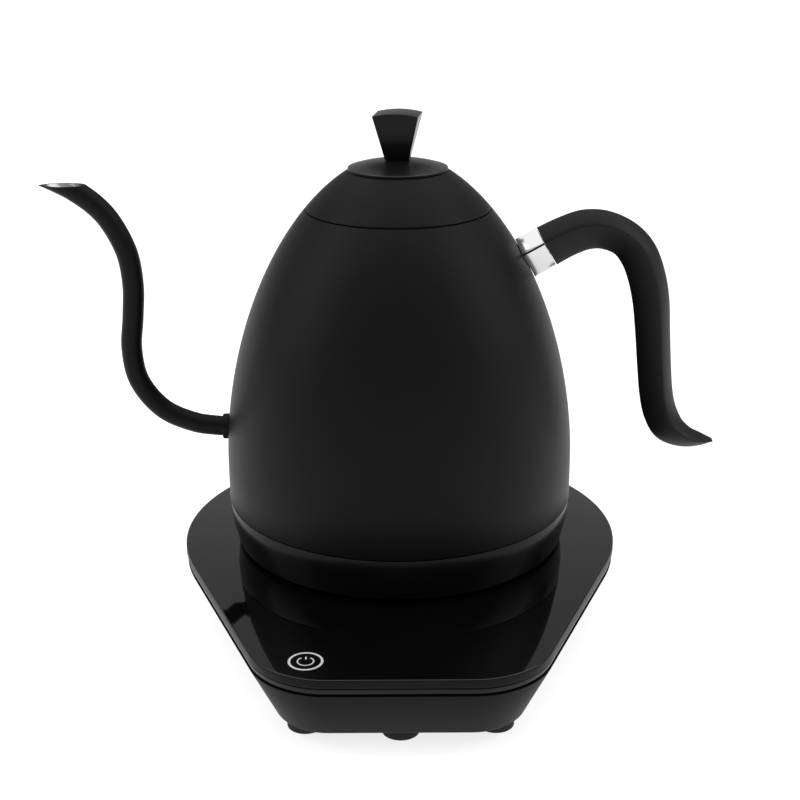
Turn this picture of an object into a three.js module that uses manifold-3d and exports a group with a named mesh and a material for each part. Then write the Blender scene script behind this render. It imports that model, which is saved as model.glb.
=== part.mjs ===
// Gooseneck electric kettle on a touch-control power base, as separate pieces.
// Millimetres, +Z up. While it is built, the kettle's axis is x = y = 0 and z = 0 is the top of the
// base's glass; the finished group is then moved so that its feet stand on z = 0.
import * as THREE from "three";
import { mergeVertices } from "three/addons/utils/BufferGeometryUtils.js";
import Module from "manifold-3d";

const wasm = await Module();
wasm.setup();

// ---------------------------------------------------------------- driving dimensions
const GAP = 0.3; // clearance left between neighbouring pieces

// kettle body: a straight cylinder that closes in a dome
const BODY_R = 72.5;
const SHOULDER_Z = 35.6; // where the cylinder turns into the dome
const DOME_RISE = 128.3; // height of the full dome above the shoulder
const DOME_FLAT = 1.89; // exponents of the dome's curve
const DOME_ROUND = 1.82;
const BODY_WALL = 1.2;
const SEAM = 0.5; // visible joint between body, lid and skirt

// skirt under the body
const SKIRT_TOP_Z = 19.4;
const SKIRT_DRAW = 3.1; // how far its foot stands in from the body
const SKIRT_BREAK = 8; // height of its upper, steeper band
const SKIRT_WALL = 2.2;
const SKIRT_FLOOR = 2.4;
const SKIRT_CHAMFER = 1.2;
const STANDOFF = 0.8; // height of the skirt above the glass
const SKIRT_SCREW_COUNT = 3;
const SKIRT_SCREW_INSET = 13.4; // from the skirt's foot
const SCREW_SINK = 1.2; // depth of each screw's counterbore
const SCREW_R = 1.5;
const SCREW_HEAD_R = 2.9;
const SCREW_HEAD_H = 1.7;

// lid
const LID_R = 37.5;
const LID_WALL = 1.2;
const NECK_LAND = 3.1; // width of the shoulder that the lid's edge stands on
const NECK_DEPTH = 8.5;
const NECK_WALL = 1.0;
const LINER_WALL = 1.2;
const LINER_DEPTH = 11;
const SEAL_T = 1.3;
const SEAL_H = 4;
const PLATE_R = 20.1;
const PLATE_EDGE = 1.1;
const PLATE_CROWN = 3.2;
const KNOB_TOP_W = 18.2;
const KNOB_TOP_D = 15;
const KNOB_FOOT_W = 9.6;
const KNOB_FOOT_D = 6;
const KNOB_H = 17.4;
const KNOB_ARCH = 1.1;
const KNOB_TURN = THREE.MathUtils.degToRad(-8);
const KNOB_SCREW_R = 1.9;

// spout: [distance outside the body wall, height], from inside the wall to past the cut tip
const SPOUT_ROOT_Z = 48.1;
const SPOUT_PATH = [
  [-3.4, 0], [0, 0], [6.4, 0.5], [13.9, 1.7], [27.1, 7.8], [36.7, 20.4], [39.1, 34.6],
  [37.7, 48.5], [36.8, 62.1], [38.5, 75.7], [44.6, 88.9], [50.3, 95.6], [58.7, 101.9],
  [62.1, 103.8], [69.5, 107.4], [76, 109.8],
];
const SPOUT_ROOT_R = 4.15;
const SPOUT_TIP_R = 4.55;
const SPOUT_BORE_R = 3.3;
const SPOUT_CUT = 103.5; // the tip is cut off level at this height above the root
const COLLAR_T = 0.9;
const COLLAR_L = 2.2;

// handle: chrome ferrule square to the dome, then a grip that runs out, over and down
const HANDLE_DROP = 21.1; // root of the handle below the lid's seam
const HANDLE_ANGLE = THREE.MathUtils.degToRad(29.4);
const FERRULE_L = 10;
const HANDLE_HALF_H = 8.9;
const HANDLE_HALF_W = 6.6;
// stations of the grip: [outward and up from the ferrule's end, shares of half height and half width]
const GRIP_PATH = [
  [0, 0, 1, 1], [7.7, 4, 0.97, 1], [15.3, 6.7, 0.95, 1], [22.8, 6.7, 0.9, 1],
  [31.8, 2.9, 0.85, 1], [37.3, -3.3, 0.87, 1], [40.9, -11.7, 0.87, 1], [43.4, -22.2, 0.86, 1],
  [44.9, -35.9, 0.82, 1], [46.2, -49.9, 0.8, 1], [47.9, -64.1, 0.79, 1], [49.9, -71.9, 0.79, 1],
  [53.7, -78.8, 0.76, 1.02], [60.5, -83.1, 0.56, 1.05], [67.4, -84.5, 0.33, 0.95],
  [72.6, -84.9, 0.07, 0.4],
];
const CORE_R = 3.6;
const CORE_IN_GRIP = 13;

// kettle underside, all on the axis unless stated
const PAN_T = 0.9;
const PAN_SET = 3; // floor pan above the skirt's seam
const PAN_RIM = 4;
const STUD_R = 3.6;
const HEATER_CLEAR = 4.4; // between the heat plate and the studs
const HEAT_PLATE_T = 2.6;
const HEAT_PLATE_BORE = 12;
const ELEMENT_EDGE = 10; // centre of the element's tube in from the heat plate's edge
const ELEMENT_TUBE_R = 3.2;
const ELEMENT_GAP = THREE.MathUtils.degToRad(28); // half of the opening between its two ends
const THERMOSTAT_R = 6.2;
const THERMOSTAT_H = 4.4;
const THERMOSTAT_CLEAR = 1.8; // to the socket
const PROBE_R = 2.4;
const PROBE_H = 13;
const PROBE_TAIL = 4; // below the floor pan
const PROBE_FLANGE_R = 6;
const PROBE_FLANGE_T = 1;
const GASKET_T = 1;
const NUT_R = 5.5;
const NUT_T = 3;

// cordless connector: concentric, so that the kettle may face any way
const POST_R = 12;
const POST_H = 11.2;
const POST_LAND = 8.9; // width of its clamping flange round the shutter
const POST_FLANGE_T = 3.6;
const SHUTTER_T = 2.8;
const SHUTTER_H = 8;
const SHUTTER_Z = 1.2;
const SOCKET_WALL = 2.6;
const SOCKET_FLANGE = 5;
const SOCKET_FLANGE_T = 1.8;
const SOCKET_ROOF = 2;
const CONTACTS = ["earth", "live", "neutral"]; // from the axis outwards
const CONTACT_T = 0.55;
const CONTACT_H = 7.4;
const CONTACT_CORE_R = 1.4; // radius inside the innermost pair
const CONTACT_RIM = 1.7; // post wall outside the outermost pair
const SLOT_BELOW = 2; // depth of the post's slots below the contacts' tips
const STRAP = [22, 12, 2]; // clamping strap: length past the flange, width, thickness
const STRAP_SCREW_CLEAR = 6; // its screws past the flange

// power base
const BASE_R = 92;
const BASE_FRONT = 127.9;
const BASE_TAPER = THREE.MathUtils.degToRad(21.8);
const BASE_CORNER_R = 32;
const GLASS_T = 3.6;
const GLASS_CHAMFER = 0.4;
const BEZEL_H = 2.4;
const BEZEL_LEDGE = 7;
const BEZEL_LIP = 4;
const BEZEL_INSET = 0.2; // its top and foot stand in from the glass edge
const BEZEL_FOOT_INSET = 0.8;
const BEZEL_LIP_T = 2;
const HOUSING_SEAM = 0.6;
const HOUSING_H = 22.2;
const HOUSING_TOP_INSET = 0.3;
const HOUSING_INSET = 11.2; // how far its foot stands in from the glass edge
const HOUSING_WALL = 2.4;
const COVER_T = 2.2;
const COVER_SET = 1; // cover's face above the housing's edge
const FOOT_R = 7.2;
const FOOT_H = 5.4;
const FOOT_STEM_R = 3.2;
// feet stand clear of the housing's wall, and screws in from the glass edge, each at an angle
// from +X round the back or a front corner
const FRONT_FOOT = { clear: 1.3 };
const CORNER_FOOT = { clear: 0.4, angle: THREE.MathUtils.degToRad(-28.6) };
const REAR_FOOT = { clear: 4.3, angle: THREE.MathUtils.degToRad(38.9) };
const REAR_SCREW = { inset: 21.3, angle: THREE.MathUtils.degToRad(61.3) };
const FLANK_SCREW = { inset: 20.7, back: 13.9 }; // on the straight flank, behind the corner's centre
const BOSS_R = 4.2;
const GLAND_R = 4.6;
const GLAND_L = 12;

// electronics in the base: [width, depth, height]
const BOARD_T = 1.6;
const BOARD_DEPTH = 48;
const BOARD_INSET = 23.3; // its front corners in from the glass edge
const BOARD_BACK = 22; // its back edge ahead of the kettle's axis
const SPACER_R = 3.2;
const SPACER_H = 4;
const SPACER_INSET = 5;
const RELAY = [16, 12, 8.5];
const TRANSFORMER = [18, 15, 9];
const PART_EDGE = 8; // parts stand in from the board's ends
const BUZZER_R = 5.5;
const BUZZER_H = 5;
const TOUCH_BOARD_T = 1.2;
const TOUCH_BOARD_DEPTH = 22;
const TOUCH_BOARD_INSET = 8.2; // its edge follows the glass edge at this distance
const TOUCH_BOARD_DROP = 5.4; // below the frame
const DISPLAY_DEPTH = 14;
const DISPLAY_H = 3.2;
const DISPLAY_CLEAR = 3.4; // between the display and the power key's spring
const KEY = { inset: 12, angle: THREE.MathUtils.degToRad(-66.1) }; // power key, round the left corner
const KEY_SPRING_R = 4;
const KEY_SPRING_T = 1;
const CLAMP = [16, 7, 4];
const CLAMP_CLEAR = 3.5; // behind the gland

const ROUND = 32; // facets round the large turned pieces
const SMALL = 12; // and round the small ones

// ---------------------------------------------------------------- making and joining solids
const group = new THREE.Group();

/** Position-only, indexed copy of a geometry, with its shared vertices merged. */
function welded(geometry) {
  const bare = geometry.clone();
  bare.deleteAttribute("normal");
  bare.deleteAttribute("uv");
  return mergeVertices(bare, 1e-4);
}

function solid(geometry) {
  const g = welded(geometry);
  const vertProperties = new Float32Array(g.attributes.position.array);
  const triVerts = new Uint32Array(g.index.array);
  return new wasm.Manifold(new wasm.Mesh({ numProp: 3, vertProperties, triVerts }));
}

function geometryOf(manifold) {
  const mesh = manifold.getMesh();
  const g = new THREE.BufferGeometry();
  g.setAttribute("position", new THREE.BufferAttribute(new Float32Array(mesh.vertProperties), 3));
  g.setIndex(new THREE.BufferAttribute(new Uint32Array(mesh.triVerts), 1));
  g.computeVertexNormals();
  return g;
}

const cut = (body, ...tools) =>
  geometryOf(tools.reduce((left, tool) => left.subtract(solid(tool)), solid(body)));
const join = (...bodies) =>
  geometryOf(bodies.slice(1).reduce((sum, body) => sum.add(solid(body)), solid(bodies[0])));

/** Turned piece: the profile is [radius, z] pairs, anticlockwise with the radius to the right. */
function turned(profile, facets = SMALL) {
  const points = profile.map(([r, z]) => new THREE.Vector2(r, z));
  return new THREE.LatheGeometry(points, facets).rotateX(Math.PI / 2);
}

const disc = (r, z0, z1, facets) => turned([[0, z0], [r, z0], [r, z1], [0, z1]], facets);
const ring = (r0, r1, z0, z1, facets) =>
  turned([[r0, z0], [r1, z0], [r1, z1], [r0, z1], [r0, z0]], facets);
const at = (geometry, x, y, z = 0) => geometry.clone().translate(x, y, z);
const block = ([w, d, h], x, y, z) => new THREE.BoxGeometry(w, d, h).translate(x, y, z + h / 2);

/** Closed skin over a stack of rings that all have the same number of points. */
function lofted(rings) {
  const n = rings[0].length;
  const points = rings.flat();
  const faces = [];
  for (let i = 0; i + 1 < rings.length; i++) {
    for (let j = 0; j < n; j++) {
      const k = (j + 1) % n;
      const [a, b, c, d] = [i * n + j, i * n + k, (i + 1) * n + k, (i + 1) * n + j];
      faces.push(a, b, c, a, c, d);
    }
  }
  for (const [start, flip] of [[0, true], [(rings.length - 1) * n, false]]) {
    const centre = points.length;
    const rim = points.slice(start, start + n);
    points.push(rim.reduce((s, p) => s.add(p), new THREE.Vector3()).divideScalar(n));
    for (let j = 0; j < n; j++) {
      const [a, b] = [start + j, start + ((j + 1) % n)];
      faces.push(centre, flip ? b : a, flip ? a : b);
    }
  }
  const g = new THREE.BufferGeometry().setFromPoints(points);
  g.setIndex(faces);
  g.computeVertexNormals();
  return g;
}

function add(name, geometry, color, roughness, metalness = 0) {
  const mesh = new THREE.Mesh(
    geometry,
    new THREE.MeshStandardMaterial({ color, roughness, metalness }),
  );
  mesh.name = name;
  group.add(mesh);
}

const BLACK_PAINT = [0x1b1b1c, 0.55, 0.1];
const BLACK_PLASTIC = [0x232426, 0.5];
const BLACK_RUBBER = [0x141414, 0.9];
const STEEL = [0xb8b8b8, 0.35, 1];
const BRASS = [0xc8a45a, 0.35, 1];

// ---------------------------------------------------------------- the dome's curve
/** Radius of the body's outside at a height. */
function bodyRadius(z) {
  const t = Math.max(0, (z - SHOULDER_Z) / DOME_RISE);
  return BODY_R * (1 - t ** DOME_FLAT) ** (1 / DOME_ROUND);
}

/** Height at which the dome has a radius. */
function domeHeight(r) {
  return SHOULDER_Z + DOME_RISE * (1 - (r / BODY_R) ** DOME_ROUND) ** (1 / DOME_FLAT);
}

/** Point of the dome's curve at a height, moved inwards along its normal. */
function domePoint(z, inset = 0) {
  const step = 0.01;
  const slope = (bodyRadius(z + step) - bodyRadius(z - step)) / (2 * step);
  const length = Math.hypot(1, slope);
  return [bodyRadius(z) - inset / length, z + (inset * slope) / length];
}

/** Radius inside the dome at a height, when its wall is a given thickness. */
function insideRadius(z, thickness) {
  const slope = (bodyRadius(z + 0.01) - bodyRadius(z - 0.01)) / 0.02;
  return bodyRadius(z) - thickness * Math.hypot(1, slope);
}

/** Points of the dome from one height to another, closer together where it bends. */
function domeCurve(z0, z1, count, inset = 0) {
  const points = [];
  for (let i = 0; i <= count; i++) {
    const s = Math.sin((Math.PI / 2) * (i / count));
    points.push(domePoint(z0 + (z1 - z0) * s, inset));
  }
  return points;
}

const LID_SEAM_Z = domeHeight(LID_R);
const PLATE_SEAT_Z = domeHeight(PLATE_R);
const NECK_R = LID_R - NECK_LAND;
const SKIRT_FOOT_R = BODY_R - SKIRT_DRAW;
const SKIRT_SCREW_PCR = SKIRT_FOOT_R - SKIRT_SCREW_INSET;
const PAN_Z = SKIRT_TOP_Z + PAN_SET;
const HEAT_PLATE_R = SKIRT_SCREW_PCR - STUD_R - HEATER_CLEAR;
const HANDLE_ROOT_Z = LID_SEAM_Z - HANDLE_DROP;

// ---------------------------------------------------------------- kettle body
function buildBodyShell() {
  const bottom = SKIRT_TOP_Z + SEAM / 2;
  const top = LID_SEAM_Z - SEAM / 2;
  const outer = [[BODY_R, bottom], ...domeCurve(SHOULDER_Z, top, 10)];
  const underLip = top - BODY_WALL;
  const innerTop = underLip - 1.5;
  const inner = domeCurve(SHOULDER_Z, innerTop, 8, BODY_WALL).reverse();
  const shell = turned([
    ...outer, [NECK_R, top], [NECK_R, underLip], [NECK_R + NECK_WALL + GAP, underLip], ...inner,
    [BODY_R - BODY_WALL, bottom], [BODY_R, bottom],
  ], ROUND);
  const hole = disc(SPOUT_ROOT_R + GAP, -BODY_R, -BODY_R / 2, SMALL).rotateY(Math.PI / 2)
    .translate(0, 0, SPOUT_ROOT_Z);
  add("body_shell", cut(shell, hole), ...BLACK_PAINT);
  // a straight ring under the lip guides the lid's plug
  add("neck_collar",
    ring(NECK_R, NECK_R + NECK_WALL, top - NECK_DEPTH, underLip - GAP, ROUND), ...STEEL);
}

function skirtScrewPlaces() {
  return Array.from({ length: SKIRT_SCREW_COUNT }, (_, i) => {
    const angle = Math.PI / 2 + (i * 2 * Math.PI) / SKIRT_SCREW_COUNT;
    return [SKIRT_SCREW_PCR * Math.cos(angle), SKIRT_SCREW_PCR * Math.sin(angle)];
  });
}

const SOCKET_BORE = POST_R + GAP + SHUTTER_T + GAP;
const SOCKET_R = SOCKET_BORE + SOCKET_WALL;
const SOCKET_FOOT_Z = STANDOFF + 0.4;
const SOCKET_FLANGE_Z = STANDOFF + SKIRT_FLOOR + GAP;
const CONTACT_TOP_Z = POST_H + GAP;
const CONTACT_SLOT = 2 * (CONTACT_T + GAP); // width that one pair of contacts takes
const CONTACT_PITCH =
  (POST_R - CONTACT_RIM - CONTACT_SLOT - CONTACT_CORE_R) / (CONTACTS.length - 1);
const contactRadius = (i) => CONTACT_CORE_R + i * CONTACT_PITCH;

function buildSkirt() {
  const top = SKIRT_TOP_Z - SEAM / 2;
  const floor = STANDOFF + SKIRT_FLOOR;
  const body = turned([
    [SOCKET_R + GAP, STANDOFF], [SKIRT_FOOT_R - SKIRT_CHAMFER, STANDOFF],
    [SKIRT_FOOT_R, STANDOFF + SKIRT_CHAMFER], [BODY_R - 0.9, top - SKIRT_BREAK], [BODY_R - 0.2, top],
    [BODY_R - SKIRT_WALL - 0.2, top], [SKIRT_FOOT_R - SKIRT_WALL, floor], [SOCKET_R + GAP, floor],
    [SOCKET_R + GAP, STANDOFF],
  ], ROUND);
  const holes = skirtScrewPlaces().map(([x, y]) => at(disc(SCREW_R + GAP, -1, floor + 1), x, y));
  const sinks = skirtScrewPlaces().map(([x, y]) =>
    at(disc(SCREW_HEAD_R + GAP, -1, STANDOFF + SCREW_SINK), x, y));
  add("skirt_ring", cut(body, ...holes, ...sinks), ...BLACK_PLASTIC);
  skirtScrewPlaces().forEach(([x, y], i) => {
    const seat = STANDOFF + SCREW_SINK;
    const head = disc(SCREW_HEAD_R, seat - SCREW_HEAD_H, seat - GAP);
    const shank = disc(SCREW_R, STANDOFF, PAN_Z - 3);
    add(`skirt_screw_${i + 1}`, at(join(head, shank), x, y), ...STEEL);
  });
}

function buildFloorPan() {
  const r = BODY_R - BODY_WALL - GAP;
  const bore = PROBE_R + GAP;
  const pan = turned([
    [bore, PAN_Z], [r, PAN_Z], [r, PAN_Z + PAN_RIM], [r - PAN_T, PAN_Z + PAN_RIM],
    [r - PAN_T, PAN_Z + PAN_T], [bore, PAN_Z + PAN_T], [bore, PAN_Z],
  ], ROUND);
  const studFoot = STANDOFF + SKIRT_FLOOR + GAP;
  const studs = skirtScrewPlaces().map(([x, y]) => at(disc(STUD_R, studFoot, PAN_Z + 0.2), x, y));
  const taps = skirtScrewPlaces().map(([x, y]) => at(disc(SCREW_R + GAP, 0, PAN_Z - 2), x, y));
  add("floor_pan", cut(join(pan, ...studs), ...taps), ...STEEL);
}

function buildHeater() {
  const plateTop = PAN_Z - GAP;
  const plateFoot = plateTop - HEAT_PLATE_T;
  add("heat_plate", ring(HEAT_PLATE_BORE, HEAT_PLATE_R, plateFoot, plateTop, ROUND), 0xa9abad, 0.5, 1);

  const axisZ = plateFoot - GAP - ELEMENT_TUBE_R;
  const elementR = HEAT_PLATE_R - ELEMENT_EDGE;
  const points = [];
  const arcSteps = 26;
  for (let i = 0; i <= arcSteps; i++) {
    const angle = -Math.PI / 2 + ELEMENT_GAP + (i / arcSteps) * 2 * (Math.PI - ELEMENT_GAP);
    points.push(new THREE.Vector3(elementR * Math.cos(angle), elementR * Math.sin(angle), axisZ));
  }
  const section = new THREE.Shape();
  section.absarc(0, 0, ELEMENT_TUBE_R, 0, 2 * Math.PI);
  const element = new THREE.ExtrudeGeometry(section, {
    steps: arcSteps,
    curveSegments: 4,
    extrudePath: new THREE.CatmullRomCurve3(points),
  });
  add("heating_element", element, 0x8c8c8c, 0.4, 1);

  // the thermostat stands in the opening between the element's ends
  const thermostat = disc(THERMOSTAT_R, plateFoot - GAP - THERMOSTAT_H, plateFoot - GAP);
  add("boil_dry_thermostat", at(thermostat, 0, -(SOCKET_R + THERMOSTAT_CLEAR + THERMOSTAT_R)),
    0x3a2a1c, 0.6);
}

function buildProbe() {
  const seat = PAN_Z + PAN_T + GAP;
  const flangeFoot = seat + GASKET_T + GAP;
  const flangeTop = flangeFoot + PROBE_FLANGE_T;
  const tip = flangeFoot + PROBE_H;
  const nutTop = PAN_Z - GAP;
  const tail = nutTop - PROBE_TAIL;
  add("probe_gasket", ring(PROBE_R + GAP, PROBE_FLANGE_R, seat, seat + GASKET_T), 0xb04a3a, 0.8);
  add("temperature_probe", turned([
    [0, tail], [PROBE_R, tail], [PROBE_R, flangeFoot], [PROBE_FLANGE_R, flangeFoot],
    [PROBE_FLANGE_R, flangeTop], [PROBE_R, flangeTop], [PROBE_R, tip - 1.5], [PROBE_R * 0.6, tip],
    [0, tip],
  ]), ...STEEL);
  const nut = cut(disc(NUT_R, nutTop - NUT_T, nutTop, 6), disc(PROBE_R + GAP, tail, PAN_Z));
  add("probe_nut", nut, ...BRASS);
}

function buildSocket() {
  const roof = CONTACT_TOP_Z + GAP;
  add("kettle_connector", turned([
    [0, roof], [SOCKET_BORE, roof], [SOCKET_BORE, SOCKET_FOOT_Z], [SOCKET_R, SOCKET_FOOT_Z],
    [SOCKET_R, SOCKET_FLANGE_Z], [SOCKET_R + SOCKET_FLANGE, SOCKET_FLANGE_Z],
    [SOCKET_R + SOCKET_FLANGE, SOCKET_FLANGE_Z + SOCKET_FLANGE_T],
    [SOCKET_R, SOCKET_FLANGE_Z + SOCKET_FLANGE_T],
    [SOCKET_R, roof + SOCKET_ROOF], [0, roof + SOCKET_ROOF],
  ], ROUND), ...BLACK_PLASTIC);
  CONTACTS.forEach((name, i) => {
    const r = contactRadius(i) + CONTACT_T + GAP;
    add(`kettle_contact_${name}`,
      ring(r, r + CONTACT_T, CONTACT_TOP_Z - CONTACT_H, CONTACT_TOP_Z, ROUND), ...BRASS);
  });
}

/** The body as a solid with a gap round it, to cut what stands against it. */
function bodyCutter() {
  const points = domeCurve(SHOULDER_Z, LID_SEAM_Z, 24, -GAP);
  return turned([[0, SKIRT_TOP_Z], [BODY_R + GAP, SKIRT_TOP_Z], ...points, [0, LID_SEAM_Z]],
    2 * ROUND);
}

// ---------------------------------------------------------------- spout
function spoutPoint([out, up]) {
  return new THREE.Vector3(-(bodyRadius(SPOUT_ROOT_Z) + out), 0, SPOUT_ROOT_Z + up);
}

/** Rings of a tube that widens evenly along the spout's curve, from start to end of its length. */
function spoutRings(r0, r1, start, end, facets, steps) {
  const curve = new THREE.CatmullRomCurve3(SPOUT_PATH.map(spoutPoint), false, "centripetal");
  const rings = [];
  for (let i = 0; i <= steps; i++) {
    const u = start + ((end - start) * i) / steps;
    const centre = curve.getPointAt(u);
    const along = curve.getTangentAt(u);
    const across = new THREE.Vector3(0, 1, 0);
    const up = new THREE.Vector3().crossVectors(along, across);
    const r = r0 + (r1 - r0) * u;
    rings.push(Array.from({ length: facets }, (_, k) => {
      const a = (2 * Math.PI * k) / facets;
      return centre.clone()
        .addScaledVector(across, r * Math.cos(a))
        .addScaledVector(up, r * Math.sin(a));
    }));
  }
  return rings;
}

function buildSpout() {
  const steps = 30;
  const facets = 10;
  const tube = lofted(spoutRings(SPOUT_ROOT_R, SPOUT_TIP_R, 0, 1, facets, steps));
  const wall = SPOUT_TIP_R - SPOUT_ROOT_R;
  const bore = lofted(spoutRings(SPOUT_BORE_R, SPOUT_BORE_R + wall, 0, 1, facets, steps));
  const root = spoutPoint(SPOUT_PATH[0]);
  const tip = spoutPoint(SPOUT_PATH.at(-1));
  const mouth = at(disc(SPOUT_BORE_R, -2, 2, facets).rotateY(Math.PI / 2), root.x, 0, root.z);
  const above = block([80, 40, 40], tip.x, 0, SPOUT_ROOT_Z + SPOUT_CUT);
  add("spout_tube", cut(tube, bore, mouth, above), ...BLACK_PAINT);

  const bed = SPOUT_ROOT_R; // reaches back into the dome, whose curve then trims it
  const collar = ring(SPOUT_ROOT_R + GAP, SPOUT_ROOT_R + GAP + COLLAR_T, -bed, GAP + COLLAR_L)
    .rotateY(-Math.PI / 2)
    .translate(-bodyRadius(SPOUT_ROOT_Z), 0, SPOUT_ROOT_Z);
  add("spout_collar", cut(collar, bodyCutter()), ...BLACK_PAINT);
}

// ---------------------------------------------------------------- handle
const HANDLE_ROOT = new THREE.Vector3(bodyRadius(HANDLE_ROOT_Z), 0, HANDLE_ROOT_Z);
const HANDLE_AXIS = new THREE.Vector3(Math.cos(HANDLE_ANGLE), 0, Math.sin(HANDLE_ANGLE));

/** Kite-shaped section with soft sides: a third of its height lies outside the side crease. */
function handleSection(centre, along, halfHeight, halfWidth) {
  const across = new THREE.Vector3(0, 1, 0);
  const out = new THREE.Vector3().crossVectors(across, along).negate().normalize();
  const crease = halfHeight / 3;
  const count = 14;
  const softness = 0.72;
  return Array.from({ length: count }, (_, k) => {
    const a = (2 * Math.PI * k) / count;
    const [c, s] = [Math.cos(a), Math.sin(a)];
    const reach = s > 0 ? halfHeight - crease : halfHeight + crease;
    const y = halfWidth * Math.sign(c) * Math.abs(c) ** (2 * softness);
    const v = crease + reach * Math.sign(s) * Math.abs(s) ** (2 * softness);
    return centre.clone().addScaledVector(across, y).addScaledVector(out, v);
  });
}

/** A straight rod along the ferrule's axis, from one distance to another past the root. */
function handleRod(r, from, to) {
  return disc(r, from, to, SMALL)
    .rotateY(Math.PI / 2 - HANDLE_ANGLE)
    .translate(HANDLE_ROOT.x, HANDLE_ROOT.y, HANDLE_ROOT.z);
}

function buildHandle() {
  const reachIn = 12;
  const stations = [-reachIn, FERRULE_L - GAP].map((d) =>
    handleSection(HANDLE_ROOT.clone().addScaledVector(HANDLE_AXIS, d), HANDLE_AXIS,
      HANDLE_HALF_H, HANDLE_HALF_W));
  const ferrule = cut(lofted(stations), handleRod(CORE_R + GAP, -2 * reachIn, 2 * FERRULE_L),
    bodyCutter());
  add("handle_ferrule", ferrule, 0xd9d9d9, 0.12, 1);

  const core = cut(handleRod(CORE_R, -reachIn, FERRULE_L + CORE_IN_GRIP), bodyCutter());
  add("handle_core", core, ...STEEL);

  const start = HANDLE_ROOT.clone().addScaledVector(HANDLE_AXIS, FERRULE_L);
  const centres = GRIP_PATH.map(([out, up]) => new THREE.Vector3(start.x + out, 0, start.z + up));
  const curve = new THREE.CatmullRomCurve3(centres, false, "centripetal");
  const sizes = new THREE.CatmullRomCurve3(
    GRIP_PATH.map(([, , h, w], i) => new THREE.Vector3(h, w, i)), false, "centripetal");
  const steps = 2 * (GRIP_PATH.length - 1);
  const rings = [];
  for (let i = 0; i <= steps; i++) {
    const along = i === 0 ? HANDLE_AXIS : curve.getTangent(i / steps);
    const size = sizes.getPoint(i / steps);
    rings.push(handleSection(curve.getPoint(i / steps), along,
      HANDLE_HALF_H * size.x, HANDLE_HALF_W * size.y));
  }
  const socket = handleRod(CORE_R + GAP, 0, FERRULE_L + CORE_IN_GRIP + GAP);
  add("handle_grip", cut(lofted(rings), socket), 0x1d1d1e, 0.75);
}

// ---------------------------------------------------------------- lid
function buildLid() {
  const rim = LID_SEAM_Z + SEAM / 2;
  const seat = PLATE_SEAT_Z - 0.4;
  const bore = KNOB_SCREW_R + GAP;
  const outer = [...domeCurve(rim, PLATE_SEAT_Z, 4)];
  const inner = domeCurve(rim + 0.6, seat - LID_WALL - 1, 3, LID_WALL).reverse();
  add("lid_dome", turned([
    ...outer, [PLATE_R - 0.6, seat], [bore, seat], [bore, seat - LID_WALL],
    ...inner, [LID_R - LID_WALL - 0.6, rim], outer[0],
  ], ROUND), ...BLACK_PAINT);

  const linerR = NECK_R - GAP - SEAL_T - GAP;
  const foot = rim - LINER_DEPTH;
  const flange = rim + 1.4;
  const flangeR = insideRadius(flange + LINER_WALL, LID_WALL + 2 * GAP);
  add("lid_liner", turned([
    [0, foot], [linerR, foot], [linerR, rim - 0.6], [linerR, flange], [flangeR, flange],
    [flangeR, flange + LINER_WALL], [linerR - LINER_WALL, flange + LINER_WALL],
    [linerR - LINER_WALL, foot + LINER_WALL], [0, foot + LINER_WALL],
  ], ROUND), ...BLACK_PLASTIC);
  const sealTop = rim - SEAM - BODY_WALL - 1;
  add("lid_seal",
    ring(linerR + GAP, linerR + GAP + SEAL_T, sealTop - SEAL_H, sealTop, ROUND), ...BLACK_RUBBER);

  const plateFoot = seat + GAP;
  const edge = PLATE_SEAT_Z + PLATE_EDGE;
  const crown = edge + PLATE_CROWN;
  const arc = [0.94, 0.75, 0.5, 0.3].map((s) => [PLATE_R * s, crown - PLATE_CROWN * s ** 2]);
  add("lid_plate", turned([
    [bore, plateFoot], [PLATE_R - 0.9, plateFoot], [PLATE_R - 0.6, PLATE_SEAT_Z + GAP],
    [PLATE_R, PLATE_SEAT_Z + GAP], [PLATE_R, edge], ...arc, [bore, crown], [bore, plateFoot],
  ], ROUND), ...BLACK_PAINT);

  buildKnob(crown + GAP, seat - LID_WALL - GAP);
}

/** Wing knob: a block that spreads from a small foot to a wide, slightly arched top. */
function buildKnob(foot, screwHead) {
  const steps = 6;
  const outline = (w, d, z, arch) => {
    const points = [];
    for (let i = 0; i <= steps; i++) {
      const s = (2 * i) / steps - 1;
      points.push(new THREE.Vector3((w / 2) * s, -d / 2, z + arch * (1 - s * s)));
    }
    return [...points, ...points.map((p) => p.clone().setY(d / 2)).reverse()];
  };
  const knob = lofted([
    outline(KNOB_FOOT_W, KNOB_FOOT_D, foot, 0),
    outline(KNOB_TOP_W, KNOB_TOP_D, foot + KNOB_H, KNOB_ARCH),
  ]);
  const tap = disc(KNOB_SCREW_R + GAP, foot - 1, foot + KNOB_H * 0.6);
  add("lid_knob", cut(knob, tap).rotateZ(KNOB_TURN), ...BLACK_PLASTIC);

  const head = disc(KNOB_SCREW_R * 2, screwHead - 2, screwHead);
  const shank = disc(KNOB_SCREW_R, screwHead - 1, foot + KNOB_H * 0.55);
  add("knob_screw", join(head, shank), ...STEEL);
}

// ---------------------------------------------------------------- power base
const CORNER_Y = BASE_CORNER_R - BASE_FRONT; // centre of the front corners' rounding
const CORNER_X =
  (BASE_R - BASE_CORNER_R + CORNER_Y * Math.sin(BASE_TAPER)) / Math.cos(BASE_TAPER);

/** Place inside the base's edge: round the back, or round a front corner; side is 1 or -1. */
function backPlace({ inset, angle }, side) {
  const r = BASE_R - inset;
  return { x: side * r * Math.cos(angle), y: r * Math.sin(angle), inset,
    out: [side * Math.cos(angle), Math.sin(angle)] };
}

function cornerPlace({ inset, angle }, side) {
  const r = BASE_CORNER_R - inset;
  return { x: side * (CORNER_X + r * Math.cos(angle)), y: CORNER_Y + r * Math.sin(angle) };
}

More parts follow.
